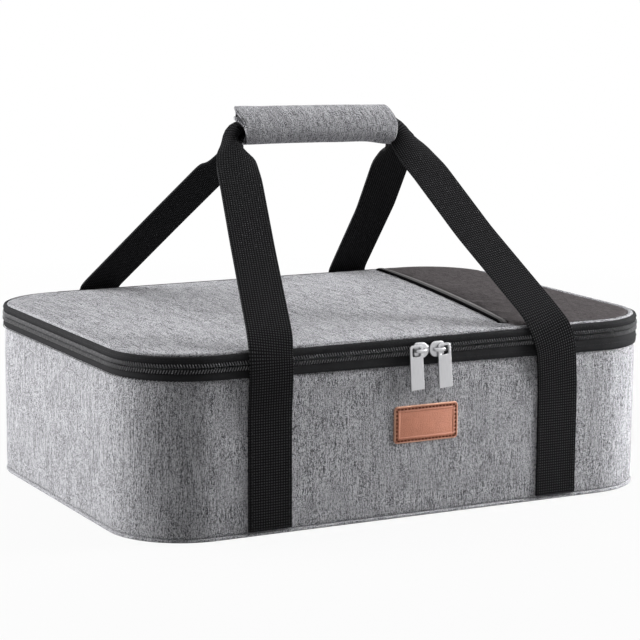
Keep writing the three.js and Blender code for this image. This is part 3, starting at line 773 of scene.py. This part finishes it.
# How far from the middle each leg stands at those stations, and the width that shows at the last four, where
# its edges fold under
stance = {
    "front_left": (115, 115.3, 115.6, 116, 113.1, 96, 81.4, 76, 72.6, 67.5, 40),
    "front_right": (116.5, 116.5, 113, 109.2, 104.2, 85, 71.5, 69, 66, 59, 40),
    "rear_left": (115, 115, 114.5, 113, 113, 86, 64, 65.6, 67.8, 64.5, 40),
    "rear_right": (115, 115, 112, 110, 109.5, 96.3, 83, 79, 61, 54, 40),
}
folded_width = {
    "front_left": (29, 9, 9, 13),
    "front_right": (29, 15, 13, 13),
    "rear_left": (20, 10, 9, 13),
    "rear_right": (27.5, 16, 12, 13),
}


def strap_leg(name, hand, turn, side):
    """The stations of one leg: place, facing and the width that shows."""
    stations = sewn + over_edge[name] + free
    folded = [width * MM for width in folded_width[name + hand]]
    widths = [WEB_WIDTH] * (len(stations) - len(folded)) + folded
    leg = []
    for x, width, (y, z, facing) in zip(stance[name + hand], widths, stations):
        spot = Vector((turn * x, side * y, z)) * MM
        leg.append((spot, Vector((0, side * facing.y, facing.z)), width))
    return leg


def strap_route(name, side):
    """Even steps from one foot over the grip to the other: place, facing, width and the length so far."""
    stations = strap_leg(name, "_right", 1, side) + strap_leg(name, "_left", -1, side)[::-1]
    route = [stations[0]]
    for before, here in zip(stations, stations[1:]):
        count = max(round((here[0] - before[0]).length / ROUTE_STEP), 1)
        for i in range(1, count + 1):
            route.append(tuple(a + (b - a) * (i / count) for a, b in zip(before, here)))
    for _ in range(EASING_PASSES):
        threes = zip(route, route[1:], route[2:])
        eased = [tuple((a + 2 * b + c) / 4 for a, b, c in zip(*three)) for three in threes]
        route = [route[0]] + eased + [route[-1]]
    lengths = [0.0]
    for before, here in zip(route, route[1:]):
        lengths.append(lengths[-1] + (here[0] - before[0]).length)
    return route, lengths


def strap(name, side):
    """One handle, sewn to the wall up to the top of its stitching and free above."""
    route, lengths = strap_route(name, side)
    last = len(route) - 1

    def strap_point(s, t):
        k = round(s * last)
        spot, facing, width = route[k]
        along = (route[min(k + 1, last)][0] - route[max(k - 1, 0)][0]).normalized()
        facing = (facing - along * facing.dot(along)).normalized()
        cupped = WEB_CUPPING * math.sqrt(max(WEB_WIDTH - width, 0) * WEB_WIDTH)
        spot = spot + along.cross(facing) * ((t - 0.5) * width) - facing * (cupped * (2 * t - 1) ** 2)
        return spot, (lengths[k], t * WEB_WIDTH)

    made = piece(name + "_webbing", mapped(last, 16, strap_point), black_webbing, sharp=80)
    thicken(made, WEB_THICKNESS, WEB_EDGE)
    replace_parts(made, name + "_strap", name + "_left_strap_base", name + "_right_strap_base")
    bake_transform(made)


strap("front", -1)
strap("rear", 1)


# Grip: a padded cuff of the heather cloth round both handles. The core is fixed to the rear handle, and the
# cover folds up the front and over the top as a flap that closes on hook-and-loop tape.
GRIP_HEIGHT, GRIP_FALL, FALL_FROM, FALL_TO = 264.5 * MM, 1.6 * MM, -30 * MM, 60 * MM
CUFF_LENGTH, CUFF_EDGE, GAPE_REACH = 134 * MM, 0.6 * MM, 0.2
LEFT_END, LEFT_SLANT, LEFT_LIMIT, LEFT_LIMIT_SLANT = -66.5 * MM, 3.5 * MM, -69.5 * MM, 8.5 * MM
LEFT_TONGUE, TONGUE_AT, TONGUE_SPREAD = 2.5 * MM, 125, 25
RIGHT_END, RIGHT_FRONT, RIGHT_UNDER = 56 * MM, 3.6 * MM, 1.6 * MM
CUFF_SWELL, SWELLS_ALONG, SWELLS_ROUND = 0.35 * MM, 45, 1.5
SAG, SAG_FROM, SAG_TO = 2.2 * MM, 38 * MM, 60 * MM
PUCKER, PUCKER_PITCH, PUCKER_FROM, PUCKER_TO = 0.5 * MM, 0.9 * MM, -42 * MM, -62 * MM
COVER_RADIUS, COVER_THICKNESS, COVER_FLAT, COVER_LIFT = 15.4 * MM, 2.1 * MM, 3.2 * MM, 0.8 * MM
FLAP_TIP, COVER_END = math.radians(14), math.radians(305)
CORE_RADIUS, CORE_THICKNESS, CORE_FULL, CORE_FLAT = 11.4 * MM, 2.2 * MM, 1.2 * MM, 3.4 * MM
CORE_START, CORE_SPAN, CORE_DROP = 0.002, 0.978, 2.4 * MM
STRIP_START, STRIP_SPAN, STRIP_FROM, STRIP_TURN = 0.012, 0.96, 24, 94
STRIP_THICKNESS, LOOP_RADIUS, HOOK_RADIUS = 0.6 * MM, 12.1 * MM, 12.85 * MM
TOUCHING = 0.01 * MM

grip_grain = {"grain": (math.radians(90), 0, 0), "stretch": (1.0, 0.55, 1.0)}
grip_cloth = heather_cloth("grip_cloth", unwrapped=True, **grip_grain)


def grip_ends(turn):
    """The cuff's slanting ends: the left one is longest at the top, the right one at mid-height."""
    angle = math.radians(turn)
    tongue = math.exp(-((turn - TONGUE_AT) / TONGUE_SPREAD) ** 2)
    left = LEFT_END - LEFT_SLANT * math.sin(angle) - LEFT_TONGUE * tongue
    left = max(left, LEFT_LIMIT + LEFT_LIMIT_SLANT * math.cos(angle))
    right = RIGHT_END + RIGHT_FRONT * smooth(120, 180, turn) + RIGHT_UNDER * smooth(225, 265, turn)
    return left, right


def cuff_point(angle, s, radius):
    """A point on the cuff, with slow swells, a sag at its right end and puckers at the left of its front.

    Angles go from the back over the top to the front.
    """
    left, right = grip_ends(math.degrees(angle))
    x = left + s * (right - left)
    radius += CUFF_SWELL * noise.noise(Vector((x * SWELLS_ALONG, angle * SWELLS_ROUND, 2)))
    radius += SAG * smooth(SAG_FROM, SAG_TO, x) * max(-math.sin(angle), 0) ** 2
    puckered = smooth(PUCKER_FROM, PUCKER_TO, x) * smooth(0.6, 1.0, -math.cos(angle))
    radius += PUCKER * puckered * math.sin(x / PUCKER_PITCH)
    height = GRIP_HEIGHT - GRIP_FALL * smooth(FALL_FROM, FALL_TO, x)
    return Vector((x, radius * math.cos(angle), height + radius * math.sin(angle)))


def gape(angle, s):
    """From 0 to 1 where cover and core stand apart at the top of the left end."""
    return smooth(GAPE_REACH, 0.0, s) * max(math.sin(angle), 0) ** 2


def cover_point(s, t):
    angle = FLAP_TIP + t * (COVER_END - FLAP_TIP)
    flattened = COVER_FLAT * smooth(175, 275, math.degrees(angle))
    radius = COVER_RADIUS - COVER_THICKNESS / 2 - flattened + gape(angle, s) * COVER_LIFT
    return cuff_point(angle, s, radius), (s * CUFF_LENGTH, angle * COVER_RADIUS)


grip_cover = piece("grip_cover", mapped(56, 60, cover_point), grip_cloth, sharp=80)
thicken(grip_cover, COVER_THICKNESS, CUFF_EDGE)
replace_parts(grip_cover, "grip_flap")
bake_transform(grip_cover)


def core_point(s, t):
    angle = t * 2 * math.pi
    turn = math.degrees(angle)
    covered = smooth(150, 180, turn) * (1 - smooth(295, 318, turn))
    filled = covered * (CORE_FULL - CORE_FLAT * smooth(180, 270, turn))
    radius = CORE_RADIUS - CORE_FULL + filled - gape(angle, s) * CORE_DROP
    return cuff_point(angle, CORE_START + CORE_SPAN * s, radius), (s * CUFF_LENGTH, angle * CORE_RADIUS)


core_shape = mapped(40, 48, core_point)
bmesh.ops.remove_doubles(core_shape, verts=core_shape.verts, dist=TOUCHING)
bmesh.ops.recalc_face_normals(core_shape, faces=core_shape.faces)
grip_core = piece("grip_core", core_shape, grip_cloth, sharp=80)
thicken(grip_core, CORE_THICKNESS, CUFF_EDGE)
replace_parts(grip_core, "grip_wrap")
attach(grip_core, "rear_handle")

fastening_pile = grained(
    "fastening_pile", 0.5, (0.004, 0.004, 0.004, 1), (0.03, 0.03, 0.032, 1), depth=0.5, detail=3.0,
    Roughness=0.95, Specular_IOR_Level=0.1,
)


def fastening_strip(name, radius, lift, body):
    """One half of the fastening, on the core or under the flap."""

    def strip_point(s, t):
        angle = math.radians(STRIP_FROM + t * STRIP_TURN)
        along = STRIP_START + STRIP_SPAN * s
        return cuff_point(angle, along, radius + gape(angle, along) * lift), (s, t)

    made = piece(name + "_pile", mapped(40, 18, strip_point), fastening_pile)
    thicken(made, STRIP_THICKNESS)
    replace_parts(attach(made, body), name)


fastening_strip("grip_loop_strip", LOOP_RADIUS, -CORE_DROP, "rear_handle")
fastening_strip("grip_hook_strip", HOOK_RADIUS, COVER_LIFT, "grip_flap")


# Patch: a small plate of tan leather on the front wall, its edge darkened and stitched all round with brown
# thread, and its rounded rim lightened with a painted highlight. Its face is left plain.
PATCH_X, PATCH_Z, PATCH_WIDTH, PATCH_HEIGHT = 7 * MM, 67 * MM, 51.5 * MM, 26.5 * MM
PATCH_BACK, PATCH_THICKNESS, PATCH_CORNER, PATCH_EDGE = -151.2 * MM, 1.6 * MM, 3 * MM, 0.9 * MM
STITCH_INSET, STITCH_PITCH, STITCH_SHARE = 2.0 * MM, 2.8 * MM, 0.4
BROWN_THREAD, PLY = 0.6 * MM, 0.3
LEATHER_PORE, PORE_SHARE = 0.9 * MM, 0.25
HIDE_DARK, HIDE_LIGHT = (0.46, 0.165, 0.092, 1), (0.64, 0.25, 0.15, 1)
# The second colour on the next line is a painted highlight for the patch's rounded rim.
CHANNEL_DARK, RIM_HIGHLIGHT = (0.24, 0.075, 0.035, 1), (0.74, 0.4, 0.27, 1)


def rounded_face(bm, outline, radii, back, steps):
    """A flat face towards the front, each corner of its outline rounded by its own radius."""
    corners = [bm.verts.new((x, back, z)) for x, z in outline]
    bm.faces.new(corners)
    for corner, radius in zip(corners, radii):
        round_off(bm, [corner], radius, steps, "VERTICES")


def raise_plate(bm, thickness, edge, steps):
    """Brings flat faces forward into a plate, and rounds its front edges."""
    out = bmesh.ops.extrude_face_region(bm, geom=bm.faces[:], use_keep_orig=True)
    moved = [g for g in out["geom"] if isinstance(g, bmesh.types.BMVert)]
    bmesh.ops.translate(bm, vec=(0, -thickness, 0), verts=moved)
    bmesh.ops.recalc_face_normals(bm, faces=bm.faces)
    front = [e for e in bm.edges if all(v in moved for v in e.verts)]
    round_off(bm, [e for e in front if e.calc_face_angle(0) > SHARP_RADIANS], edge, steps, "EDGES")


tan_leather, tree, shader = finish("tan_leather")
place = where(tree)
pores = put(tree, "TexVoronoi", {"feature": "DISTANCE_TO_EDGE"}, Vector=place, Scale=1 / LEATHER_PORE)
pebble = ramp(tree, pores.outputs[0], high=0.22)
tone = streaks(tree, place, (7.0, 7.0, 5.0), detail=4.0)
centre = (PATCH_X, 0, PATCH_Z)
centred = put(tree, "VectorMath", {"operation": "SUBTRACT"}, i0=place, i1=centre).outputs[0]
outwards = put(tree, "VectorMath", {"operation": "ABSOLUTE"}, i0=centred).outputs[0]
offsets = put(tree, "SeparateXYZ", Vector=outwards).outputs
near_end = sums(tree, "SUBTRACT", offsets["X"], PATCH_WIDTH / 2)
near_side = sums(tree, "SUBTRACT", offsets["Z"], PATCH_HEIGHT / 2)
to_edge = sums(tree, "MAXIMUM", near_end, near_side)
# The outer millimetre of the face is lightened: a painted highlight where the rounded rim catches the light.
painted_rim_highlight = ramp(tree, to_edge, low=-1.1 * MM, high=-0.4 * MM)
channel = between(tree, to_edge, -2.9 * MM, -1.2 * MM, 0.35 * MM)
hide = tint(tree, tone, HIDE_DARK, HIDE_LIGHT)
patch_colour = tint(tree, sums(tree, "MULTIPLY", channel, 0.6), hide, CHANNEL_DARK)
patch_colour = tint(tree, painted_rim_highlight, patch_colour, RIM_HIGHLIGHT)
pressed = ramp(tree, to_edge, low=-4.6 * MM, high=-4.0 * MM)
relief = sums(tree, "MULTIPLY_ADD", pebble, PORE_SHARE, sums(tree, "SUBTRACT", pressed, channel))
dress(tree, shader, patch_colour, relief, depth=0.4, strength=0.8)
uneven_gloss(tree, shader, tone, 0.42, 0.6)

patch_shape = bmesh.new()
patch_outline = [(PATCH_X + x * PATCH_WIDTH / 2, PATCH_Z + z * PATCH_HEIGHT / 2) for x, z in FOUR_CORNERS]
rounded_face(patch_shape, patch_outline, [PATCH_CORNER] * 4, PATCH_BACK, steps=8)
raise_plate(patch_shape, PATCH_THICKNESS, PATCH_EDGE, steps=3)
leather_patch = piece("patch_leather", patch_shape, tan_leather, sharp=50)
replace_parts(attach(leather_patch, "tub"), "leather_patch")

thread_brown = grained(
    "thread_brown", PLY, (0.07, 0.02, 0.009, 1), (0.17, 0.052, 0.024, 1), depth=0.1,
    Roughness=0.7, Specular_IOR_Level=0.1,
)
stitch = bead("stitch", around=6, rings=4)


def stitch_run(bm, start, end, thickness):
    """A row of stitches from one point to another, each sunk at its ends."""
    way = end - start
    count = max(round(way.length / STITCH_PITCH), 1)
    heading = way.to_track_quat("X", "Z").to_matrix().to_4x4()
    laid = heading @ Matrix.Diagonal((STITCH_SHARE * way.length / count, thickness, thickness, 1))
    scatter(bm, stitch, [Matrix.Translation(start + way * ((i + 0.5) / count)) @ laid for i in range(count)])


patch_thread_shape = bmesh.new()
patch_middle = Vector((PATCH_X, PATCH_BACK - PATCH_THICKNESS, PATCH_Z))
half_width, half_height = PATCH_WIDTH / 2 - STITCH_INSET, PATCH_HEIGHT / 2 - STITCH_INSET
corners = [patch_middle + Vector((x * half_width, 0, z * half_height)) for x, z in FOUR_CORNERS]
for start, end in zip(corners, corners[1:] + corners[:1]):
    stitch_run(patch_thread_shape, start, end, BROWN_THREAD)
patch_thread = piece("patch_thread", patch_thread_shape, thread_brown)
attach(patch_thread, "tub")


# Stitching: black thread, a line up each edge of a strap where it is sewn to the wall, and a line along each
# zip tape.
STRAP_X, SEW_HALF, SEW_FOOT, SEW_HEAD, SEW_FACE = 115 * MM, 14 * MM, 6 * MM, 82 * MM, 153.0 * MM
STRAP_THREAD, TAPE_THREAD = 0.3 * MM, 0.28 * MM
thread_black = grained(
    "thread_black", PLY, (0.003, 0.003, 0.0035, 1), (0.02, 0.02, 0.021, 1), depth=0.1,
    Roughness=0.7, Specular_IOR_Level=0.2,
)

strap_thread_shape = bmesh.new()
for side_y in (-1, 1):
    for x in (STRAP_X - SEW_HALF, STRAP_X + SEW_HALF):
        for side_x in (-1, 1):
            foot, head = (Vector((side_x * x, side_y * SEW_FACE, z)) for z in (SEW_FOOT, SEW_HEAD))
            stitch_run(strap_thread_shape, foot, head, STRAP_THREAD)
strap_thread = piece("strap_thread", strap_thread_shape, thread_black)
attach(strap_thread, "tub")


def tape_thread(name, inset, z, body):
    """A line of stitches along a zip tape."""
    row = bmesh.new()
    size = Matrix.Diagonal((STITCH_SHARE * STITCH_PITCH, TAPE_THREAD, TAPE_THREAD, 1))
    scatter(row, stitch, zip_run(inset, z, STITCH_PITCH, size))
    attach(piece(name, row, thread_black), body)


tape_thread("body_tape_thread", inset=-1.5 * MM, z=111.3 * MM, body="tub")
tape_thread("lid_tape_thread", inset=-1.3 * MM, z=125.6 * MM, body="lid")


# Sliders and pulls: cast zinc with a satin plate finish. Each slider is a rounded shoe over the coils with
# an arch on its back, and a flat pull with a window at its head hangs from the arch's outer post.
SPLIT_Z, MEETING_X, SHOE_OFFSET = 119.4 * MM, 7.4 * MM, 6.2 * MM
SHOE_LENGTH, SHOE_HEIGHT, SHOE_THICKNESS, SHOE_BACK = 11.8 * MM, 11.2 * MM, 1.6 * MM, -153.3 * MM
SHOE_NOSE, SHOE_HEEL, SHOE_EDGE = 0.49 * SHOE_HEIGHT, 2.8 * MM, 0.7 * MM
ARCH_POST_X, ARCH_FAR_X, ARCH_RISE, ARCH_SUNK = -5.15 * MM, 2.6 * MM, 3.6 * MM, 0.4 * MM
ARCH_HALF_THICKNESS, ARCH_HALF_WIDTH = 0.75 * MM, 1.3 * MM
ARCH_STEEP, ARCH_LEVEL, ARCH_TURN, ARCH_LEAST_TILT = 0.6, 0.45, 1.5, 0.05
NECK_SIZE, NECK_X, NECK_BEHIND = (3.4 * MM, 4.2 * MM, 0.8 * MM), 1.6 * MM, 2.0 * MM
BACK_SHOE_SIZE, BACK_SHOE_BEHIND = (6.6 * MM, 1.2 * MM, 3.8 * MM), 3.9 * MM
PULL_TOP, PULL_LENGTH, PULL_HEAD, PULL_FOOT = 4.2 * MM, 32 * MM, 10.2 * MM, 10.8 * MM
PULL_THICKNESS, PULL_BACK, PULL_EDGE, PULL_RIDGE = 1.4 * MM, -155.3 * MM, 0.35 * MM, 0.14 * MM
PULL_TILT = math.radians(-3.5)
HEAD_CORNER, FOOT_CORNER, WINDOW_CORNER = 2.6 * MM, 0.9 * MM, 1.2 * MM
WINDOW_HALF, WINDOW_HEAD, WINDOW_FOOT = 3.2 * MM, 2.4 * MM, -4.0 * MM

satin_metal, tree, shader = finish("satin_metal", Metallic=1.0)
brushed = streaks(tree, where(tree), (0.4, 0.4, 6.0))
plating = tint(tree, brushed, (0.4, 0.4, 0.413, 1), (0.55, 0.55, 0.563, 1))
dress(tree, shader, plating, brushed, depth=0.03, strength=0.5)
uneven_gloss(tree, shader, brushed, 0.34, 0.48)


def powered(value, power):
    """A power that keeps the sign."""
    return math.copysign(abs(value) ** power, value)


def arch_point(s, t):
    """The arch rises steeply from a post, runs level and comes down again; t goes round its section."""
    across, rise = math.cos(math.pi * s), abs(math.sin(math.pi * s))
    turn = 2 * math.pi * t
    middle, reach = (ARCH_POST_X + ARCH_FAR_X) / 2, (ARCH_FAR_X - ARCH_POST_X) / 2
    outward = Vector((-powered(across, ARCH_TURN), -rise - ARCH_LEAST_TILT, 0)).normalized()
    front = SHOE_BACK - SHOE_THICKNESS + ARCH_SUNK - ARCH_RISE * rise ** ARCH_LEVEL
    x = middle - reach * powered(across, ARCH_STEEP)
    spot = Vector((x, front, ARCH_HALF_WIDTH * math.sin(turn)))
    return spot + outward * (ARCH_HALF_THICKNESS * math.cos(turn)), (s, t)


def slider(name, side):
    """A shoe with its arch, and behind them the neck and the inner shoe that hold it on the coils."""
    bm = bmesh.new()
    outline = [(x * SHOE_LENGTH / 2, z * SHOE_HEIGHT / 2) for x, z in FOUR_CORNERS]
    rounded_face(bm, outline, (SHOE_NOSE, SHOE_NOSE, SHOE_HEEL, SHOE_HEEL), SHOE_BACK, steps=8)
    raise_plate(bm, SHOE_THICKNESS, SHOE_EDGE, steps=3)
    arch = mapped(24, 12, arch_point)
    bmesh.ops.remove_doubles(arch, verts=arch.verts, dist=TOUCHING)
    bmesh.ops.holes_fill(arch, edges=[e for e in arch.edges if e.is_boundary])
    bmesh.ops.recalc_face_normals(arch, faces=arch.faces)
    arch_shape = bpy.data.meshes.new("arch")
    arch.to_mesh(arch_shape)
    arch.free()
    bm.from_mesh(arch_shape)
    bpy.data.meshes.remove(arch_shape)
    block(bm, NECK_SIZE, (NECK_X, SHOE_BACK + NECK_BEHIND, 0))
    block(bm, BACK_SHOE_SIZE, (0, SHOE_BACK + BACK_SHOE_BEHIND, 0))
    if side < 0:
        bmesh.ops.rotate(bm, cent=(0, 0, 0), matrix=Matrix.Rotation(math.pi, 3, "Y"), verts=bm.verts)
    bmesh.ops.translate(bm, vec=(MEETING_X - side * SHOE_OFFSET, 0, SPLIT_Z), verts=bm.verts)
    made = piece(name + "_casting", bm, satin_metal, sharp=35)
    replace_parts(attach(made, name), name)


def pull(name, side):
    """A flat tab with a window cut in its head and a faint ridge down its face."""
    bm = bmesh.new()
    low = PULL_TOP - PULL_LENGTH
    foot, head = PULL_FOOT / 2, PULL_HEAD / 2
    outline = [(foot, low), (head, PULL_TOP), (-head, PULL_TOP), (-foot, low)]
    window = [(x * WINDOW_HALF, WINDOW_FOOT if z < 0 else WINDOW_HEAD) for x, z in FOUR_CORNERS]
    rounded_face(bm, outline, (FOOT_CORNER, HEAD_CORNER, HEAD_CORNER, FOOT_CORNER), PULL_BACK, steps=6)
    rounded_face(bm, window, [WINDOW_CORNER] * 4, PULL_BACK, steps=4)
    bmesh.ops.delete(bm, geom=bm.faces[:], context="FACES_ONLY")
    bmesh.ops.triangle_fill(bm, edges=bm.edges[:], use_beauty=True)
    raise_plate(bm, PULL_THICKNESS, PULL_EDGE, steps=2)
    bmesh.ops.bisect_plane(bm, geom=everything(bm), plane_co=(0, 0, 0), plane_no=(1, 0, 0))
    face = PULL_BACK - PULL_THICKNESS + TOUCHING
    middle = [v for v in bm.verts if abs(v.co.x) < TOUCHING and v.co.y < face]
    ridge = [v for v in middle if v.co.z < WINDOW_FOOT]
    bmesh.ops.translate(bm, vec=(0, -PULL_RIDGE, 0), verts=ridge)
    bmesh.ops.rotate(bm, cent=(0, 0, 0), matrix=Matrix.Rotation(PULL_TILT, 3, "Y"), verts=bm.verts)
    post_x = MEETING_X - side * SHOE_OFFSET + side * ARCH_POST_X
    bmesh.ops.translate(bm, vec=(post_x, 0, SPLIT_Z), verts=bm.verts)
    made = piece(name + "_tab", bm, satin_metal, sharp=5)
    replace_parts(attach(made, name), name)


for hand, side in (("left", 1), ("right", -1)):
    slider(hand + "_slider", side)
    pull(hand + "_pull", side)


# Studio: a pale floor that runs on as a white ground, softboxes at both sides, low down and overhead, and
# the camera at the photograph's angle.
WHITE, FLOOR_GREY = (1, 1, 1, 1), (0.42, 0.42, 0.42, 1)
FLOOR_HALF, FLOOR_DROP = 12.0, 0.2 * MM
SHADOW_NEAR, SHADOW_FAR, NEAR_WHITE = 0.4, 1.2, 0.93
AMBIENT = 0.13
IMAGE_WIDTH, FOCAL_PIXELS, SENSOR_WIDTH = 640, 2328.35, 36.0
YAW, PITCH, ROLL = math.radians(-27.68), math.radians(9.58), math.radians(0.34)
CAMERA_AIM, CAMERA_DISTANCE = Vector((2.21, 0, 117.22)) * MM, 1.75788


def background_rays(tree):
    """1 for the rays that show the ground as white: from the camera, in metal and through glass."""
    rays = put(tree, "LightPath").outputs
    mirrored = sums(tree, "MAXIMUM", rays["Is Glossy Ray"], rays["Is Transmission Ray"])
    return sums(tree, "MAXIMUM", rays["Is Camera Ray"], mirrored)


def mix_shaders(tree, share, first, second, output):
    """Joins two shaders to the output, the second by its share."""
    mixed = put(tree, "MixShader", i0=share, i1=first.outputs[0], i2=second.outputs[0])
    tree.links.new(mixed.outputs[0], tree.nodes[output].inputs["Surface"])


ground, tree, shader = finish("ground", Roughness=0.9, Base_Color=FLOOR_GREY)
reach = put(tree, "VectorMath", {"operation": "LENGTH"}, i0=where(tree)).outputs["Value"]
whiteness = ramp(tree, reach, low=SHADOW_NEAR, high=SHADOW_FAR, to_low=NEAR_WHITE)
plain_white = put(tree, "Emission", Color=WHITE, Strength=1.0)
share = sums(tree, "MULTIPLY", background_rays(tree), whiteness)
mix_shaders(tree, share, shader, plain_white, "Material Output")

floor_shape = bmesh.new()
bmesh.ops.create_grid(floor_shape, x_segments=1, y_segments=1, size=FLOOR_HALF)
bmesh.ops.translate(floor_shape, vec=(0, 0, -FLOOR_DROP), verts=floor_shape.verts)
floor_mesh = bpy.data.meshes.new("floor")
floor_shape.to_mesh(floor_mesh)
floor_shape.free()
floor_mesh.materials.append(ground)
floor = bpy.data.objects.new("floor", floor_mesh)
bpy.context.scene.collection.objects.link(floor)

sky = bpy.data.worlds.new("studio")
bpy.context.scene.world = sky
sky.use_nodes = True
tree = sky.node_tree
ambient = put(tree, "Background", Color=WHITE, Strength=AMBIENT)
backdrop = put(tree, "Background", Color=WHITE, Strength=1.0)
mix_shaders(tree, background_rays(tree), ambient, backdrop, "World Output")


def softbox(name, spot, aim, size, watts, spread=180):
    """A square lamp turned to what it lights; spread is the width of its beam in degrees."""
    lamp = bpy.data.lights.new(name, "AREA")
    lamp.shape = "SQUARE"
    lamp.size = size
    lamp.energy = watts
    lamp.spread = math.radians(spread)
    made = bpy.data.objects.new(name, lamp)
    made.location = spot
    made.rotation_euler = (Vector(aim) - Vector(spot)).to_track_quat("-Z", "Y").to_euler()
    bpy.context.scene.collection.objects.link(made)


softbox("left_softbox", spot=(-1.4, 0.8, 0.5), aim=(-0.1, 0, 0.08), size=1.0, watts=37)
softbox("right_softbox", spot=(1.0, -0.4, 0.75), aim=(0.1, 0, 0.08), size=0.5, watts=18)
softbox("low_softbox", spot=(0.9, -0.35, 0.2), aim=(0.12, -0.151, 0.05), size=0.15, watts=0.25, spread=34)
softbox("overhead_softbox", spot=(-0.4, 0.7, 1.5), aim=(0, 0, 0.1), size=1.8, watts=20)

camera_data = bpy.data.cameras.new("camera")
camera_data.sensor_width = SENSOR_WIDTH
camera_data.lens = FOCAL_PIXELS / IMAGE_WIDTH * SENSOR_WIDTH
back = Vector((math.sin(YAW) * math.cos(PITCH), -math.cos(YAW) * math.cos(PITCH), math.sin(PITCH)))
right = (-back).cross(Vector((0, 0, 1))).normalized()
up = right.cross(-back)
tilted_right = math.cos(ROLL) * right + math.sin(ROLL) * up
tilted_up = math.cos(ROLL) * up - math.sin(ROLL) * right
camera = bpy.data.objects.new("camera", camera_data)
camera.matrix_world = Matrix((tilted_right, tilted_up, back)).transposed().to_4x4()
camera.location = CAMERA_AIM + back * CAMERA_DISTANCE
bpy.context.scene.collection.objects.link(camera)
bpy.context.scene.camera = camera
bpy.context.scene.view_settings.view_transform = "Standard"
